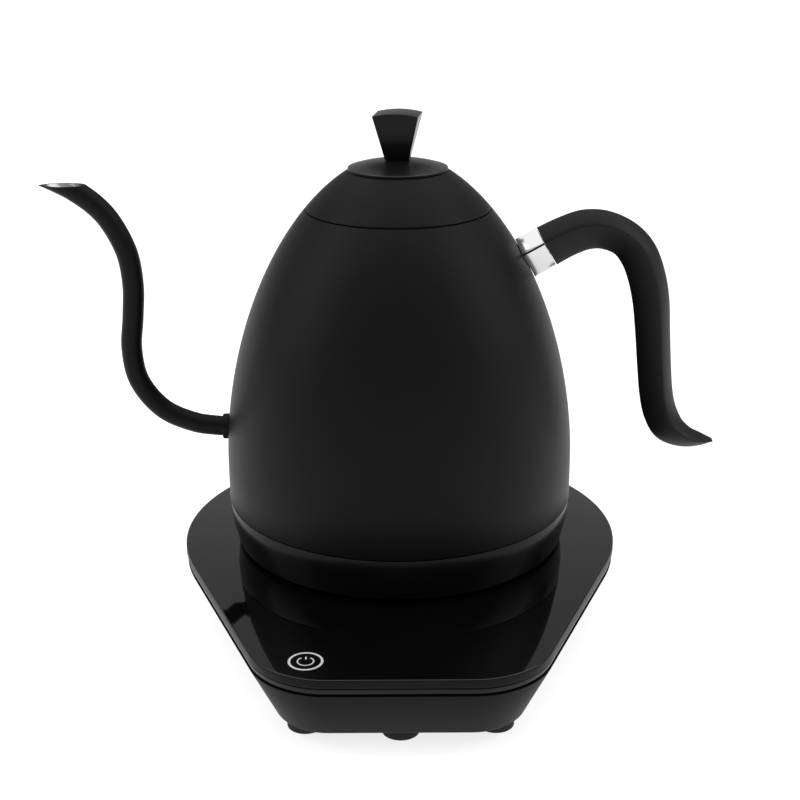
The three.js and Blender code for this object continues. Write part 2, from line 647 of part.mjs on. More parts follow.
/** Half of the base's width between its straight flanks, at a depth, moved inwards. */
const flankX = (y, inset) => (BASE_R - inset + y * Math.sin(BASE_TAPER)) / Math.cos(BASE_TAPER);

function flankPlace({ inset, back }, side) {
  const y = CORNER_Y + back;
  return { x: side * flankX(y, inset), y, inset,
    out: [side * Math.cos(BASE_TAPER), -Math.sin(BASE_TAPER)] };
}

/** A foot's centre stands its radius and its clearance inside the housing's wall. */
const footPlace = ({ clear, angle }) =>
  ({ inset: HOUSING_INSET + HOUSING_WALL + clear + FOOT_R, angle });

const FEET = {
  foot_front_centre: { x: 0, y: footPlace(FRONT_FOOT).inset - BASE_FRONT },
  foot_front_left: cornerPlace(footPlace(CORNER_FOOT), -1),
  foot_front_right: cornerPlace(footPlace(CORNER_FOOT), 1),
  foot_rear_left: backPlace(footPlace(REAR_FOOT), -1),
  foot_rear_right: backPlace(footPlace(REAR_FOOT), 1),
};
const HOUSING_SCREWS = {
  housing_screw_front_left: flankPlace(FLANK_SCREW, -1),
  housing_screw_front_right: flankPlace(FLANK_SCREW, 1),
  housing_screw_rear_left: backPlace(REAR_SCREW, -1),
  housing_screw_rear_right: backPlace(REAR_SCREW, 1),
};

/** Outline of the base, moved inwards: a circle, two straight flanks that close in, a flat front. */
function baseOutline(inset, backSteps = 26, cornerSteps = 6) {
  const r = BASE_R - inset;
  const corner = BASE_CORNER_R - inset;
  const [cx, cy] = [CORNER_X, CORNER_Y];
  const points = [];
  const arc = (x, y, radius, from, to, steps) => {
    for (let i = 0; i <= steps; i++) {
      const a = from + ((to - from) * i) / steps;
      points.push(new THREE.Vector2(x + radius * Math.cos(a), y + radius * Math.sin(a)));
    }
  };
  arc(0, 0, r, -BASE_TAPER, Math.PI + BASE_TAPER, backSteps);
  arc(-cx, cy, corner, Math.PI + BASE_TAPER, 1.5 * Math.PI, cornerSteps);
  arc(cx, cy, corner, 1.5 * Math.PI, 2 * Math.PI - BASE_TAPER, cornerSteps);
  return points;
}

/** Solid whose outline follows [inset, z] levels from the lowest to the highest. */
const stacked = (levels) =>
  lofted(levels.map(([inset, z]) =>
    baseOutline(inset).map((p) => new THREE.Vector3(p.x, p.y, z))));

const GLASS_FOOT = -GLASS_T;
const BEZEL_TOP = GLASS_FOOT - GAP;
const BEZEL_FOOT = BEZEL_TOP - BEZEL_H;
const HOUSING_TOP = BEZEL_FOOT - HOUSING_SEAM;
const HOUSING_FOOT = HOUSING_TOP - HOUSING_H;
const COVER_FOOT = HOUSING_FOOT + COVER_SET;
const COVER_TOP = COVER_FOOT + COVER_T;
const FLOOR_Z = HOUSING_FOOT - FOOT_H;
const HOUSING_SCREW_TOP = HOUSING_TOP - 5;
const HOUSING_DRAFT = 0.4; // extra wall at the housing's foot
const LIP_FOOT = BEZEL_FOOT - BEZEL_LIP;
const housingInset = (z) =>
  HOUSING_TOP_INSET + ((HOUSING_INSET - HOUSING_TOP_INSET) * (HOUSING_TOP - z)) / HOUSING_H;

function buildGlass() {
  const slab = stacked([
    [0, GLASS_FOOT], [0, -GLASS_CHAMFER], [GLASS_CHAMFER, 0],
  ]);
  add("glass_top", cut(slab, disc(POST_R + SHUTTER_T + 2 * GAP, -2 * GLASS_T, GLASS_T, ROUND)),
    0x050506, 0.04);
}

function buildBezel() {
  const screws = Object.values(HOUSING_SCREWS);
  const frame = stacked([[BEZEL_FOOT_INSET, BEZEL_FOOT], [BEZEL_INSET, BEZEL_TOP]]);
  const lipInset = HOUSING_WALL + 1.2 + GAP;
  const lip = stacked([[lipInset + BEZEL_LIP_T, LIP_FOOT], [lipInset, BEZEL_FOOT + 0.1]]);
  const hollow = stacked([[BEZEL_LEDGE, LIP_FOOT - 1], [BEZEL_LEDGE, BEZEL_TOP + 1]]);
  const bosses = screws.map(({ x, y }) => at(disc(BOSS_R, COVER_TOP + GAP, BEZEL_TOP), x, y));
  // each boss is held by a web that runs out to the frame
  const webs = screws.map(({ x, y, inset, out }) =>
    block([inset, 2 * BOSS_R, BEZEL_H], inset / 2, 0, BEZEL_FOOT)
      .rotateZ(Math.atan2(out[1], out[0])).translate(x, y, 0));
  const trimmed = webs.map((web) => geometryOf(solid(web).intersect(solid(frame))));
  const taps = screws.map(({ x, y }) =>
    at(disc(SCREW_R + GAP, COVER_TOP - 1, HOUSING_SCREW_TOP + 1), x, y));
  const open = cut(join(frame, lip), hollow);
  add("bezel_frame", cut(join(open, ...trimmed, ...bosses), ...taps), ...BLACK_PLASTIC);
}

function buildHousing() {
  const outer = stacked([
    [HOUSING_INSET + 0.6, HOUSING_FOOT], [housingInset(COVER_FOOT), COVER_FOOT],
    [housingInset(HOUSING_TOP), HOUSING_TOP],
  ]);
  const inner = stacked([
    [HOUSING_INSET + HOUSING_WALL + HOUSING_DRAFT, HOUSING_FOOT - 1],
    [HOUSING_TOP_INSET + HOUSING_WALL, HOUSING_TOP + 1],
  ]);
  const [gx, gy, gz] = glandPlace();
  const inlet = disc(GLAND_R + GAP, -GLAND_L * 2, GLAND_L * 2).rotateX(-Math.PI / 2)
    .translate(gx, gy, gz);
  add("lower_housing", cut(outer, inner, inlet), ...BLACK_PLASTIC);
}

/** Centre of the cord inlet, on the housing's back wall between the cover and the frame's lip. */
function glandPlace() {
  const z = (LIP_FOOT + COVER_TOP) / 2;
  return [0, BASE_R - housingInset(z), z];
}

function buildBottomCover() {
  const inset = HOUSING_INSET + HOUSING_WALL + HOUSING_DRAFT + 2 * GAP;
  const plate = stacked([[inset, COVER_FOOT], [inset, COVER_TOP]]);
  const seat = COVER_FOOT + SCREW_SINK;
  const holes = Object.values(HOUSING_SCREWS).flatMap(({ x, y }) => [
    at(disc(SCREW_R + GAP, COVER_FOOT - 1, COVER_TOP + 1), x, y),
    at(disc(SCREW_HEAD_R + GAP, COVER_FOOT - 1, seat), x, y),
  ]);
  const sockets = Object.values(FEET).map(({ x, y }) =>
    at(disc(FOOT_STEM_R + GAP, COVER_FOOT - 1, COVER_TOP + 1), x, y));
  add("bottom_cover", cut(plate, ...holes, ...sockets), 0x1c1c1e, 0.7);

  for (const [name, { x, y }] of Object.entries(FEET)) {
    const foot = turned([
      [0, FLOOR_Z], [FOOT_R - 0.8, FLOOR_Z], [FOOT_R, FLOOR_Z + 0.8], [FOOT_R, COVER_FOOT - GAP],
      [FOOT_STEM_R, COVER_FOOT - GAP], [FOOT_STEM_R, COVER_TOP], [0, COVER_TOP],
    ]);
    add(name, at(foot, x, y), ...BLACK_RUBBER);
  }
  for (const [name, { x, y }] of Object.entries(HOUSING_SCREWS)) {
    const head = disc(SCREW_HEAD_R, seat - SCREW_HEAD_H, seat - GAP);
    const shank = disc(SCREW_R, COVER_FOOT, HOUSING_SCREW_TOP);
    add(name, at(join(head, shank), x, y), ...STEEL);
  }
}

const POST_NECK_R = POST_R + SHUTTER_T + GAP;
const POST_FLANGE_R = POST_NECK_R + POST_LAND;

function buildPost() {
  const flangeTop = GLASS_FOOT - GAP;
  const shoulder = SHUTTER_Z - GAP;
  const slotFloor = POST_H - CONTACT_H - SLOT_BELOW;
  const slots = [2, 1].map(contactRadius).flatMap((r) => [
    [r + CONTACT_SLOT, POST_H], [r + CONTACT_SLOT, slotFloor],
    [r - GAP, slotFloor], [r - GAP, POST_H],
  ]);
  const wellR = contactRadius(0) + CONTACT_SLOT;
  add("connector_post", turned([
    [0, flangeTop - POST_FLANGE_T], [POST_FLANGE_R, flangeTop - POST_FLANGE_T],
    [POST_FLANGE_R, flangeTop], [POST_NECK_R, flangeTop], [POST_NECK_R, shoulder],
    [POST_R, shoulder],
    [POST_R, POST_H], ...slots, [wellR, POST_H], [wellR, slotFloor], [0, slotFloor],
  ], ROUND), ...BLACK_PLASTIC);
  CONTACTS.forEach((name, i) => {
    const r = contactRadius(i);
    const foot = slotFloor + GAP;
    const contact = i === 0
      ? disc(r + CONTACT_T, foot, foot + CONTACT_H)
      : ring(r, r + CONTACT_T, foot, foot + CONTACT_H, ROUND);
    add(`base_contact_${name}`, contact, ...BRASS);
  });
  add("shutter_ring",
    ring(POST_R + GAP, POST_R + SHUTTER_T, SHUTTER_Z, SHUTTER_Z + SHUTTER_H, ROUND),
    0x2a2b2d, 0.5);

  const clampTop = flangeTop - POST_FLANGE_T - GAP;
  const [past, width, thick] = STRAP;
  const clampFoot = clampTop - thick;
  const strap = block([2 * POST_FLANGE_R + past, width, thick], 0, 0, clampFoot);
  const screwX = POST_FLANGE_R + STRAP_SCREW_CLEAR;
  const holes = [-screwX, screwX].map((x) =>
    at(disc(SCREW_R + GAP, clampFoot - 1, clampTop + 1), x, 0));
  add("connector_bracket", cut(strap, ...holes), ...STEEL);
  [["left", -screwX], ["right", screwX]].forEach(([side, x]) => {
    const head = disc(SCREW_HEAD_R, clampFoot - GAP - SCREW_HEAD_H, clampFoot - GAP);
    const shank = disc(SCREW_R, clampFoot - 1, flangeTop - 0.5);
    add(`bracket_screw_${side}`, at(join(head, shank), x, 0), ...STEEL);
  });
}

function buildElectronics() {
  const front = -(BOARD_BACK + BOARD_DEPTH);
  const by = -(BOARD_BACK + BOARD_DEPTH / 2);
  const half = flankX(front, BOARD_INSET);
  const boardZ = COVER_TOP + SPACER_H;
  const top = boardZ + BOARD_T + GAP;
  add("main_board", block([2 * half, BOARD_DEPTH, BOARD_T], 0, by, boardZ), 0x1d4a2c, 0.6);
  const relayX = -(half - PART_EDGE - RELAY[0] / 2);
  const transformerX = half - PART_EDGE - TRANSFORMER[0] / 2;
  add("relay", block(RELAY, relayX, by + 2, top), 0x1b1f4a, 0.5);
  add("transformer", block(TRANSFORMER, transformerX, by + 4, top), 0xc9a21a, 0.6);
  add("buzzer", at(disc(BUZZER_R, top, top + BUZZER_H), 0, by - 14), 0x151515, 0.5);
  [["left", -1], ["right", 1]].forEach(([side, sign]) => {
    const spacer = ring(SCREW_R + GAP, SPACER_R, COVER_TOP + GAP, boardZ - GAP);
    add(`board_spacer_${side}`, at(spacer, sign * (half - SPACER_INSET), by), 0xd8d4c4, 0.6);
  });

  const touchZ = BEZEL_FOOT - TOUCH_BOARD_DROP;
  const touchTop = touchZ + TOUCH_BOARD_T;
  const touchY = TOUCH_BOARD_INSET + TOUCH_BOARD_DEPTH / 2 - BASE_FRONT;
  const outline = stacked([[TOUCH_BOARD_INSET, touchZ], [TOUCH_BOARD_INSET, touchTop]]);
  const band = block([3 * BASE_R, TOUCH_BOARD_DEPTH, 3 * TOUCH_BOARD_T], 0, touchY,
    touchZ - TOUCH_BOARD_T);
  add("touch_board", geometryOf(solid(outline).intersect(solid(band))), 0x1d4a2c, 0.6);
  const key = cornerPlace(KEY, -1);
  const display = [2 * (-key.x - KEY_SPRING_R - DISPLAY_CLEAR), DISPLAY_DEPTH, DISPLAY_H];
  add("display_module", block(display, 0, touchY, touchTop + GAP), 0x101214, 0.3);
  add("power_key_spring",
    at(ring(KEY_SPRING_R - KEY_SPRING_T, KEY_SPRING_R, touchTop + GAP, GLASS_FOOT - GAP), key.x, key.y),
    ...STEEL);
}

function buildCordEntry() {
  const [gx, gy, gz] = glandPlace();
  const proud = 0.6; // out of the wall
  const bore = 2.6;
  const gland = turned([
    [bore, -GLAND_L], [GLAND_R, -GLAND_L], [GLAND_R, -0.8], [GLAND_R - 0.8, 0], [bore, 0],
    [bore, -GLAND_L],
  ]).rotateX(-Math.PI / 2).translate(gx, gy + proud, gz);
  add("cord_gland", gland, ...BLACK_RUBBER);

  const clampY = gy + proud - GLAND_L - CLAMP_CLEAR - CLAMP[1] / 2;
  add("cord_clamp", block(CLAMP, gx, clampY, COVER_TOP + GAP), ...BLACK_PLASTIC);
}

// ---------------------------------------------------------------- assembly
buildBodyShell();
buildSkirt();
buildFloorPan();
buildHeater();
buildProbe();
buildSocket();
buildSpout();
buildHandle();
buildLid();
buildGlass();
buildBezel();
buildHousing();
buildBottomCover();
buildPost();
buildElectronics();
buildCordEntry();

// stand it on its feet, centred over them
group.updateMatrixWorld(true);
const bounds = new THREE.Box3().setFromObject(group, true);
const middle = bounds.getCenter(new THREE.Vector3());
group.position.set(-middle.x, -middle.y, -bounds.min.z);
group.updateMatrixWorld(true);

export default group;
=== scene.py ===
import math

import bmesh
import bpy
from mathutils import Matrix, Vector


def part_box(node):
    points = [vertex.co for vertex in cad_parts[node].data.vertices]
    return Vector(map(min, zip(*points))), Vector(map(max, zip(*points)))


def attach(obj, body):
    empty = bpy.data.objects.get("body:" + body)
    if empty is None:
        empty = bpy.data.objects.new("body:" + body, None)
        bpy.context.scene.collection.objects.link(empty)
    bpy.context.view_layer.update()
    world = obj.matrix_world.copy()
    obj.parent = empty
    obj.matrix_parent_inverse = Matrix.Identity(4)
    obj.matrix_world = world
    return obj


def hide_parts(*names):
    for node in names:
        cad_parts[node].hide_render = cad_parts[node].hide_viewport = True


bl_info = {
    "name": "Gooseneck kettle looks",
    "version": (1, 0, 0),
    "blender": (4, 5, 0),
    "location": "3D View > Sidebar > Kettle",
    "description": "Fine surfaces and finishes for a gooseneck electric kettle and its base",
    "category": "Add Mesh",
}

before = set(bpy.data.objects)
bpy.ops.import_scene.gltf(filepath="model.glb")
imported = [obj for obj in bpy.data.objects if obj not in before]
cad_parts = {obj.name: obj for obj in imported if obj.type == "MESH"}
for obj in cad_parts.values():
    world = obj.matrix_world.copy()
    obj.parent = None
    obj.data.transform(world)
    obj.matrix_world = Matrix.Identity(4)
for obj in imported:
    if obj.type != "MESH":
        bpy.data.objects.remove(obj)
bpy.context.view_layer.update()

# The kettle's axis and the glass's top come from the frame. Lengths in the modelling code are in
# millimetres from that point, and `place` turns them into the frame's metres.
MM = 0.001
_lid_low, _lid_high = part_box("lid_dome")
AXIS_X = (_lid_low.x + _lid_high.x) / 2
AXIS_Y = (_lid_low.y + _lid_high.y) / 2
GLASS_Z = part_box("glass_top")[1].z

# Sizes that the panel leaves out, in millimetres.
GAP = 0.3  # clearance between neighbouring pieces
NECK_LAND = 3.1  # from the lid's seam in to the neck
NECK_DEPTH = 8.5
LID_WALL = 1.2
PLATE_EDGE = 1.1  # height of the lid disc's edge above the dome
PLATE_CROWN = 3.2  # rise of its middle above that edge
KNOB_SCREW_BORE = 2.2
SKIRT_DRAW = 3.1  # how far the skirt's foot stands in from the body
SKIRT_FOOT = 0.8
SKIRT_FLOOR_TOP = 3.2
SKIRT_SCREWS = 3
SKIRT_SCREW_INSET = 13.4
SOCKET_BORE = 15.4
HANDLE_ROD_BORE = 3.9
FRAME_HEIGHT = 2.4
HOUSING_SEAM = 0.6
HOUSING_HEIGHT = 22.2
HOUSING_TOP_INSET = 0.3
HOUSING_INSET = 11.2  # how far the housing's foot stands in from the glass's edge
FRAME_LIP = 4
COVER_SET = 1  # the cover's face above the housing's edge
COVER_THICKNESS = 2.2
POST_HEIGHT = 11.2
MARK_AT = (-34.4, -114.2)  # the power mark's middle on the glass
MARK_THICKNESS = 0.03


def length(name, default, description):
    """A size given in millimetres and kept in metres."""
    return bpy.props.FloatProperty(name=name, description=description, default=default * MM,
                                   min=0, unit="LENGTH", precision=5)


def colour(name, default, description):
    """A linear RGB colour."""
    return bpy.props.FloatVectorProperty(name=name, description=description, default=default,
                                         min=0, max=1, size=3, subtype="COLOR")


def number(name, default, description):
    """A plain number, not below 0."""
    return bpy.props.FloatProperty(name=name, description=description, default=default, min=0)


class KettleSizes(bpy.types.PropertyGroup):
    """Sizes of the kettle and its base."""
    body_radius: length("Body radius", 72.5, "Outside radius of the straight lower body")
    shoulder: length("Shoulder", 35.6, "Height where the body starts to close in")
    dome_rise: length("Dome rise", 128.3, "Height of the full dome above the shoulder")
    dome_flat: number("Dome flatness", 1.89, "Exponent along the dome's height")
    dome_round: number("Dome roundness", 1.82, "Exponent along the dome's radius")
    wall: length("Wall", 1.2, "Thickness of the body's steel")
    seam: length("Seam", 0.5, "Width of the joints between body, lid and skirt")
    skirt_top: length("Skirt top", 19.4, "Height of the skirt's seam")
    lid_radius: length("Lid radius", 37.5, "Radius of the lid's seam")
    plate_radius: length("Plate radius", 20.1, "Radius of the disc on the lid")
    spout_root: length("Spout root", 48.1, "Height where the spout leaves the body")
    spout_cut: length("Spout cut", 103.5, "Height of the spout's level cut above its root")
    spout_radius: length("Spout radius", 4.15, "Radius of the spout at its root")
    spout_tip: length("Spout tip radius", 4.55, "Radius of the spout at its tip")
    spout_bore: length("Spout bore", 3.3, "Radius of the spout's bore at its root")
    ferrule: length("Ferrule", 10, "Length of the chrome ferrule")
    handle_drop: length("Handle drop", 21.1, "Handle's root below the lid's seam")
    handle_half_height: length("Grip half height", 8.9, "Half of the grip's height")
    handle_half_width: length("Grip half width", 6.6, "Half of the grip's width")
    base_radius: length("Base radius", 92, "Radius of the glass round the back")
    base_front: length("Base front", 127.9, "Front edge of the glass from the kettle's axis")
    base_corner: length("Base corner", 32, "Radius of the front corners")
    glass: length("Glass", 3.6, "Thickness of the glass")
    handle_angle: bpy.props.FloatProperty(
        name="Handle angle", description="Rise of the ferrule", default=math.radians(29.4),
        subtype="ANGLE")
    base_taper: bpy.props.FloatProperty(
        name="Base taper", description="Angle of the base's flanks", default=math.radians(21.8),
        subtype="ANGLE")


class KettleFinishes(bpy.types.PropertyGroup):
    """Colours of the finishes."""
    paint: colour("Paint", (0.004, 0.004, 0.0042), "Matte powder coat on body, lid and spout")
    moulding: colour("Moulding", (0.0032, 0.0033, 0.0036), "Black mouldings")
    grip: colour("Grip", (0.0042, 0.0042, 0.0044), "Soft black of the grip")
    glass: colour("Glass", (0.0015, 0.0015, 0.0018), "Black behind the glass")
    mark: colour("Mark", (0.62, 0.62, 0.62), "Print of the power mark")
    steel: colour("Steel", (0.56, 0.56, 0.55), "Stainless steel inside and screws")
    floor: colour("Floor", (0.5, 0.5, 0.5), "Studio floor")


# ---------------------------------------------------------------- small tools
def mm(name):
    """One of the kettle's sizes in millimetres."""
    return getattr(bpy.context.scene.kettle_sizes, name) / MM


def angle(name):
    """One of the kettle's angles in radians."""
    return getattr(bpy.context.scene.kettle_sizes, name)


def place(x, y, z):
    """A point given in millimetres from the kettle's axis and the glass's top, in the frame."""
    return Vector((AXIS_X + x * MM, AXIS_Y + y * MM, GLASS_Z + z * MM))


def begin(name, kind, **settings):
    """Adds a primitive, selected alone, and opens it for editing."""
    if bpy.context.object and bpy.context.object.mode != "OBJECT":
        bpy.ops.object.mode_set(mode="OBJECT")
    bpy.ops.object.select_all(action="DESELECT")
    getattr(bpy.ops.mesh, f"primitive_{kind}_add")(**settings)
    obj = bpy.context.object
    obj.name = obj.data.name = name
    bpy.ops.object.mode_set(mode="EDIT")
    bpy.ops.mesh.select_mode(type="VERT")
    return obj


def choose(test, kind="verts"):
    """Selects only the vertices, edges or faces whose middle, in metres, passes a test."""
    obj = bpy.context.edit_object
    mesh = bmesh.from_edit_mesh(obj.data)
    for group in (mesh.faces, mesh.edges, mesh.verts):
        for element in group:
            element.select = False
    for element in getattr(mesh, kind):
        if kind == "verts":
            middle = element.co
        elif kind == "edges":
            middle = (element.verts[0].co + element.verts[1].co) / 2
        else:
            middle = element.calc_center_median()
        if test(obj.matrix_world @ middle):
            element.select = True
    mesh.select_flush_mode()
    bmesh.update_edit_mesh(obj.data)


def pull(x, y, z):
    """Extrudes the selection by a distance in millimetres."""
    bpy.ops.mesh.extrude_region_move(TRANSFORM_OT_translate={"value": (x * MM, y * MM, z * MM)})


def stretch(factors, centre):
    """Scales the selection about a point."""
    bpy.ops.transform.resize(value=factors, center_override=centre)


def turn(radians, centre, axis="Y"):
    """Turns the selection right-handed about an axis through a point."""
    bpy.ops.transform.rotate(value=-radians, orient_axis=axis, center_override=centre)


def tidy():
    """Merges doubles and turns every face outwards."""
    bpy.ops.mesh.select_all(action="SELECT")
    bpy.ops.mesh.remove_doubles(threshold=2e-6)
    bpy.ops.mesh.normals_make_consistent(inside=False)


def modify(obj, kind, **settings):
    """Adds a modifier and applies it."""
    modifier = obj.modifiers.new(kind.title(), kind)
    for key, value in settings.items():
        setattr(modifier, key, value)
    bpy.context.view_layer.objects.active = obj
    bpy.ops.object.modifier_apply(modifier=modifier.name)


def finish(obj, body, nodes, material, edge=0.0, segments=2, smooth=35):
    """Leaves edit mode, puts the piece's place into its mesh, softens its edges and shades it."""
    if obj.mode == "EDIT":
        tidy()
        bpy.ops.object.mode_set(mode="OBJECT")
    bpy.ops.object.select_all(action="DESELECT")
    obj.select_set(True)
    bpy.context.view_layer.objects.active = obj
    bpy.ops.object.transform_apply(location=True, rotation=True, scale=True)
    if edge:
        modify(obj, "BEVEL", width=edge * MM, segments=segments, limit_method="ANGLE",
               angle_limit=math.radians(smooth), use_clamp_overlap=True)
    bpy.ops.object.shade_smooth_by_angle(angle=math.radians(smooth))
    if not obj.data.materials:
        obj.data.materials.append(material)
    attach(obj, body)
    if nodes:
        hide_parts(*nodes)
    return obj


def cut(obj, *tools):
    """Cuts closed tools out of a piece and removes them."""
    if bpy.context.object.mode == "EDIT":
        bpy.ops.object.mode_set(mode="OBJECT")
    for tool in tools:
        modify(obj, "BOOLEAN", operation="DIFFERENCE", solver="EXACT", object=tool)
        bpy.data.objects.remove(tool)
    bpy.ops.object.select_all(action="DESELECT")
    obj.select_set(True)
    bpy.context.view_layer.objects.active = obj


def turned(name, profile, segments=96, x=0, y=0):
    """A ring pulled through [radius, height] points; a radius of 0 at either end closes a pole."""
    points = list(profile)
    first_pole = points.pop(0) if points[0][0] == 0 else None
    radius, height = points[0]
    obj = begin(name, "circle", vertices=segments, radius=radius * MM,
                location=place(x, y, height))
    for r, z in points[1:]:
        pull(0, 0, z - height)
        if r == 0:
            bpy.ops.mesh.merge(type="CENTER")
            break
        stretch((r / radius, r / radius, 1), place(x, y, z))
        radius, height = r, z
    if first_pole:
        r0, z0 = points[0]
        start = place(x, y, z0)
        choose(lambda p: abs(p.z - start.z) < 1e-6
               and abs((p.xy - start.xy).length - r0 * MM) < 1e-6)
        pull(0, 0, first_pole[1] - z0)
        bpy.ops.mesh.merge(type="CENTER")
    tidy()
    return obj


def rounded(points, radius, steps=4):
    """A profile whose corners, apart from its two ends, are replaced by small arcs."""
    nearly_straight = 0.3
    out = [points[0]]
    for before, at, after in zip(points, points[1:], points[2:]):
        a, b, c = Vector(before), Vector(at), Vector(after)
        reach = min(radius, (a - b).length / 2.2, (c - b).length / 2.2)
        start, end = b + (a - b).normalized() * reach, b + (c - b).normalized() * reach
        if (b - a).angle(c - b, 0) < nearly_straight:
            out.append(at)
            continue
        for i in range(steps + 1):
            t = i / steps
            out.append(tuple(start.lerp(b, t).lerp(b.lerp(end, t), t)))
    return out + [points[-1]]


def smooth_path(points, steps):
    """Centripetal spline through points of any dimension: [position] at equal steps per span."""
    p = [Vector(q) for q in points]
    p = [p[0] * 2 - p[1], *p, p[-1] * 2 - p[-2]]
    out = []
    for i in range(1, len(p) - 2):
        a, b, c, d = p[i - 1:i + 3]
        t = [max((v - u).length ** 0.5, 1e-4) for u, v in ((a, b), (b, c), (c, d))]
        m1 = ((b - a) / t[0] - (c - a) / (t[0] + t[1]) + (c - b) / t[1]) * t[1]
        m2 = ((c - b) / t[1] - (d - b) / (t[1] + t[2]) + (d - c) / t[2]) * t[1]
        last = i == len(p) - 3
        for k in range(steps + last):
            u = k / steps
            out.append(b + m1 * u + ((c - b) * 3 - m1 * 2 - m2) * u ** 2
                       + ((b - c) * 2 + m1 + m2) * u ** 3)
    return out


# ---------------------------------------------------------------- the dome's curve
def body_radius(z):
    """Outside radius of the body at a height."""
    t = max(0.0, (z - mm("shoulder")) / mm("dome_rise"))
    s = bpy.context.scene.kettle_sizes
    return mm("body_radius") * max(0.0, 1 - t ** s.dome_flat) ** (1 / s.dome_round)


def dome_height(r):
    """Height at which the dome has a radius."""
    s = bpy.context.scene.kettle_sizes
    t = (1 - (r / mm("body_radius")) ** s.dome_round) ** (1 / s.dome_flat)
    return mm("shoulder") + mm("dome_rise") * t


def dome_point(z, inset=0.0):
    """Point of the dome's curve at a height, moved inwards along its normal."""
    step = 0.01
    slope = (body_radius(z + step) - body_radius(z - step)) / (2 * step)
    run = math.hypot(1, slope)
    return (body_radius(z) - inset / run, z + inset * slope / run)


def dome_curve(z0, z1, count, inset=0.0):
    """Points of the dome's curve between two heights, closer together near the top."""
    return [dome_point(z0 + (z1 - z0) * math.sin(math.pi / 2 * i / count), inset)
            for i in range(count + 1)]


# ---------------------------------------------------------------- finishes
class Signal:
    """A value in a finish. Arithmetic on it adds Math nodes."""

    def __init__(self, surface, socket):
        self.surface, self.socket = surface, socket

    def _math(self, operation, a, b):
        return self.surface.node("ShaderNodeMath", {"operation": operation}, {0: a, 1: b})

    def __add__(self, other):
        return self._math("ADD", self, other)

    def __mul__(self, other):
        return self._math("MULTIPLY", self, other)

    __radd__, __rmul__ = __add__, __mul__


class Surface:
    """A finish made of nodes: a Principled shader and what varies over it."""

    def __init__(self, name, **constants):
        self.material = bpy.data.materials.new(name)
        self.material.use_nodes = True
        self.tree = self.material.node_tree
        self.shader = self.tree.nodes["Principled BSDF"]
        for key, value in constants.items():
            self.shader.inputs[key.replace("_", " ").title().replace("Ior", "IOR")
                               ].default_value = value
        self.place = self.node("ShaderNodeTexCoord", {}, {}, "Object")

    def node(self, kind, settings, inputs, output=0):
        """Adds a node: its settings first, then its sockets' values or links."""
        node = self.tree.nodes.new(kind)
        for key, value in settings.items():
            if key == "stops":
                ramp = node.color_ramp.elements
                while len(ramp) < len(value):
                    ramp.new(0.5)
                for element, (position, shade) in zip(ramp, value):
                    element.position, element.color = position, (*shade, 1)
            else:
                setattr(node, key, value)
        for key, value in inputs.items():
            if isinstance(value, Signal):
                self.tree.links.new(value.socket, node.inputs[key])
            else:
                node.inputs[key].default_value = value
        return Signal(self, node.outputs[output])

    def feed(self, socket, value):
        self.tree.links.new(value.socket, self.shader.inputs[socket])

    def noise(self, scale, detail=2.0, stretch=None):
        """Noise from 0 to 1 with cells of about 1/scale metres, stretched along chosen axes."""
        where = self.place
        if stretch:
            where = self.node("ShaderNodeMapping", {}, {"Vector": where, "Scale": stretch})
        return self.node("ShaderNodeTexNoise", {},
                         {"Vector": where, "Scale": scale, "Detail": detail})

    def ramp(self, value, *stops):
        return self.node("ShaderNodeValToRGB", {"stops": stops}, {"Fac": value})

    def bump(self, height, strength, distance=0.0001):
        normal = self.node("ShaderNodeBump", {}, {
            "Height": height, "Strength": strength, "Distance": distance}, "Normal")
        self.feed("Normal", normal)


def shades(rgb, spread):
    """Two shades of a colour, a little darker and a little lighter."""
    return (tuple(c * (1 - spread) for c in rgb), tuple(c * (1 + spread) for c in rgb))


def grained(name, rgb, roughness, grain=1600, depth=0.1, spread=0.12, vary=0.05, stretch=None,
            mottle=60, **constants):
    """A finish with broad mottling, a fine grain and roughness that follows both."""
    s = Surface(name, **constants)
    broad = s.noise(mottle, 3.0)
    fine = s.noise(grain, 2.0, stretch)
    dark, light = shades(rgb, spread)
    s.feed("Base Color", s.ramp(broad * 0.6 + fine * 0.4, (0.3, dark), (0.7, light)))
    s.feed("Roughness", roughness - vary + (broad + fine) * vary)
    s.bump(fine, depth)
    return s.material


def board_finish(name):
    """Green solder mask over paler traces, with small pads."""
    s = Surface(name, roughness=0.4)
    cells = s.node("ShaderNodeTexVoronoi", {"distance": "CHEBYCHEV", "feature": "DISTANCE_TO_EDGE"},
                   {"Vector": s.place, "Scale": 260.0})
    trace = s.ramp(cells, (0.08, (0.02, 0.17, 0.07)), (0.12, (0.008, 0.075, 0.03)))
    s.feed("Base Color", trace)
    s.feed("Roughness", 0.35 + s.noise(900) * 0.15)
    s.bump(cells, 0.3)
    return s.material


def banded_finish(name, rgb, bands, roughness):
    """Wound tape or a moulded case with level bands."""
    s = Surface(name)
    wave = s.node("ShaderNodeTexWave", {"bands_direction": "Z"},
                  {"Vector": s.place, "Scale": bands, "Distortion": 0.3})
    dark, light = shades(rgb, 0.2)
    s.feed("Base Color", s.ramp(wave, (0.35, dark), (0.65, light)))
    s.feed("Roughness", roughness + s.noise(700) * 0.1)
    s.bump(wave, 0.15)
    return s.material


def glass_finish(name, rgb):
    """Back-painted polished glass: a dark body under a clear mirror face with faint dust."""
    s = Surface(name, specular_ior_level=0.5, ior=1.5)
    dust = s.ramp(s.noise(420, 6.0), (0.62, (0, 0, 0)), (0.8, (1, 1, 1)))
    haze = s.noise(14, 2.0)
    dark, light = shades(rgb, 0.15)
    s.feed("Base Color", s.ramp(haze, (0.35, dark), (0.65, light)))
    s.feed("Roughness", 0.025 + haze * 0.02 + dust * 0.015)
    return s.material


MATERIALS = {}


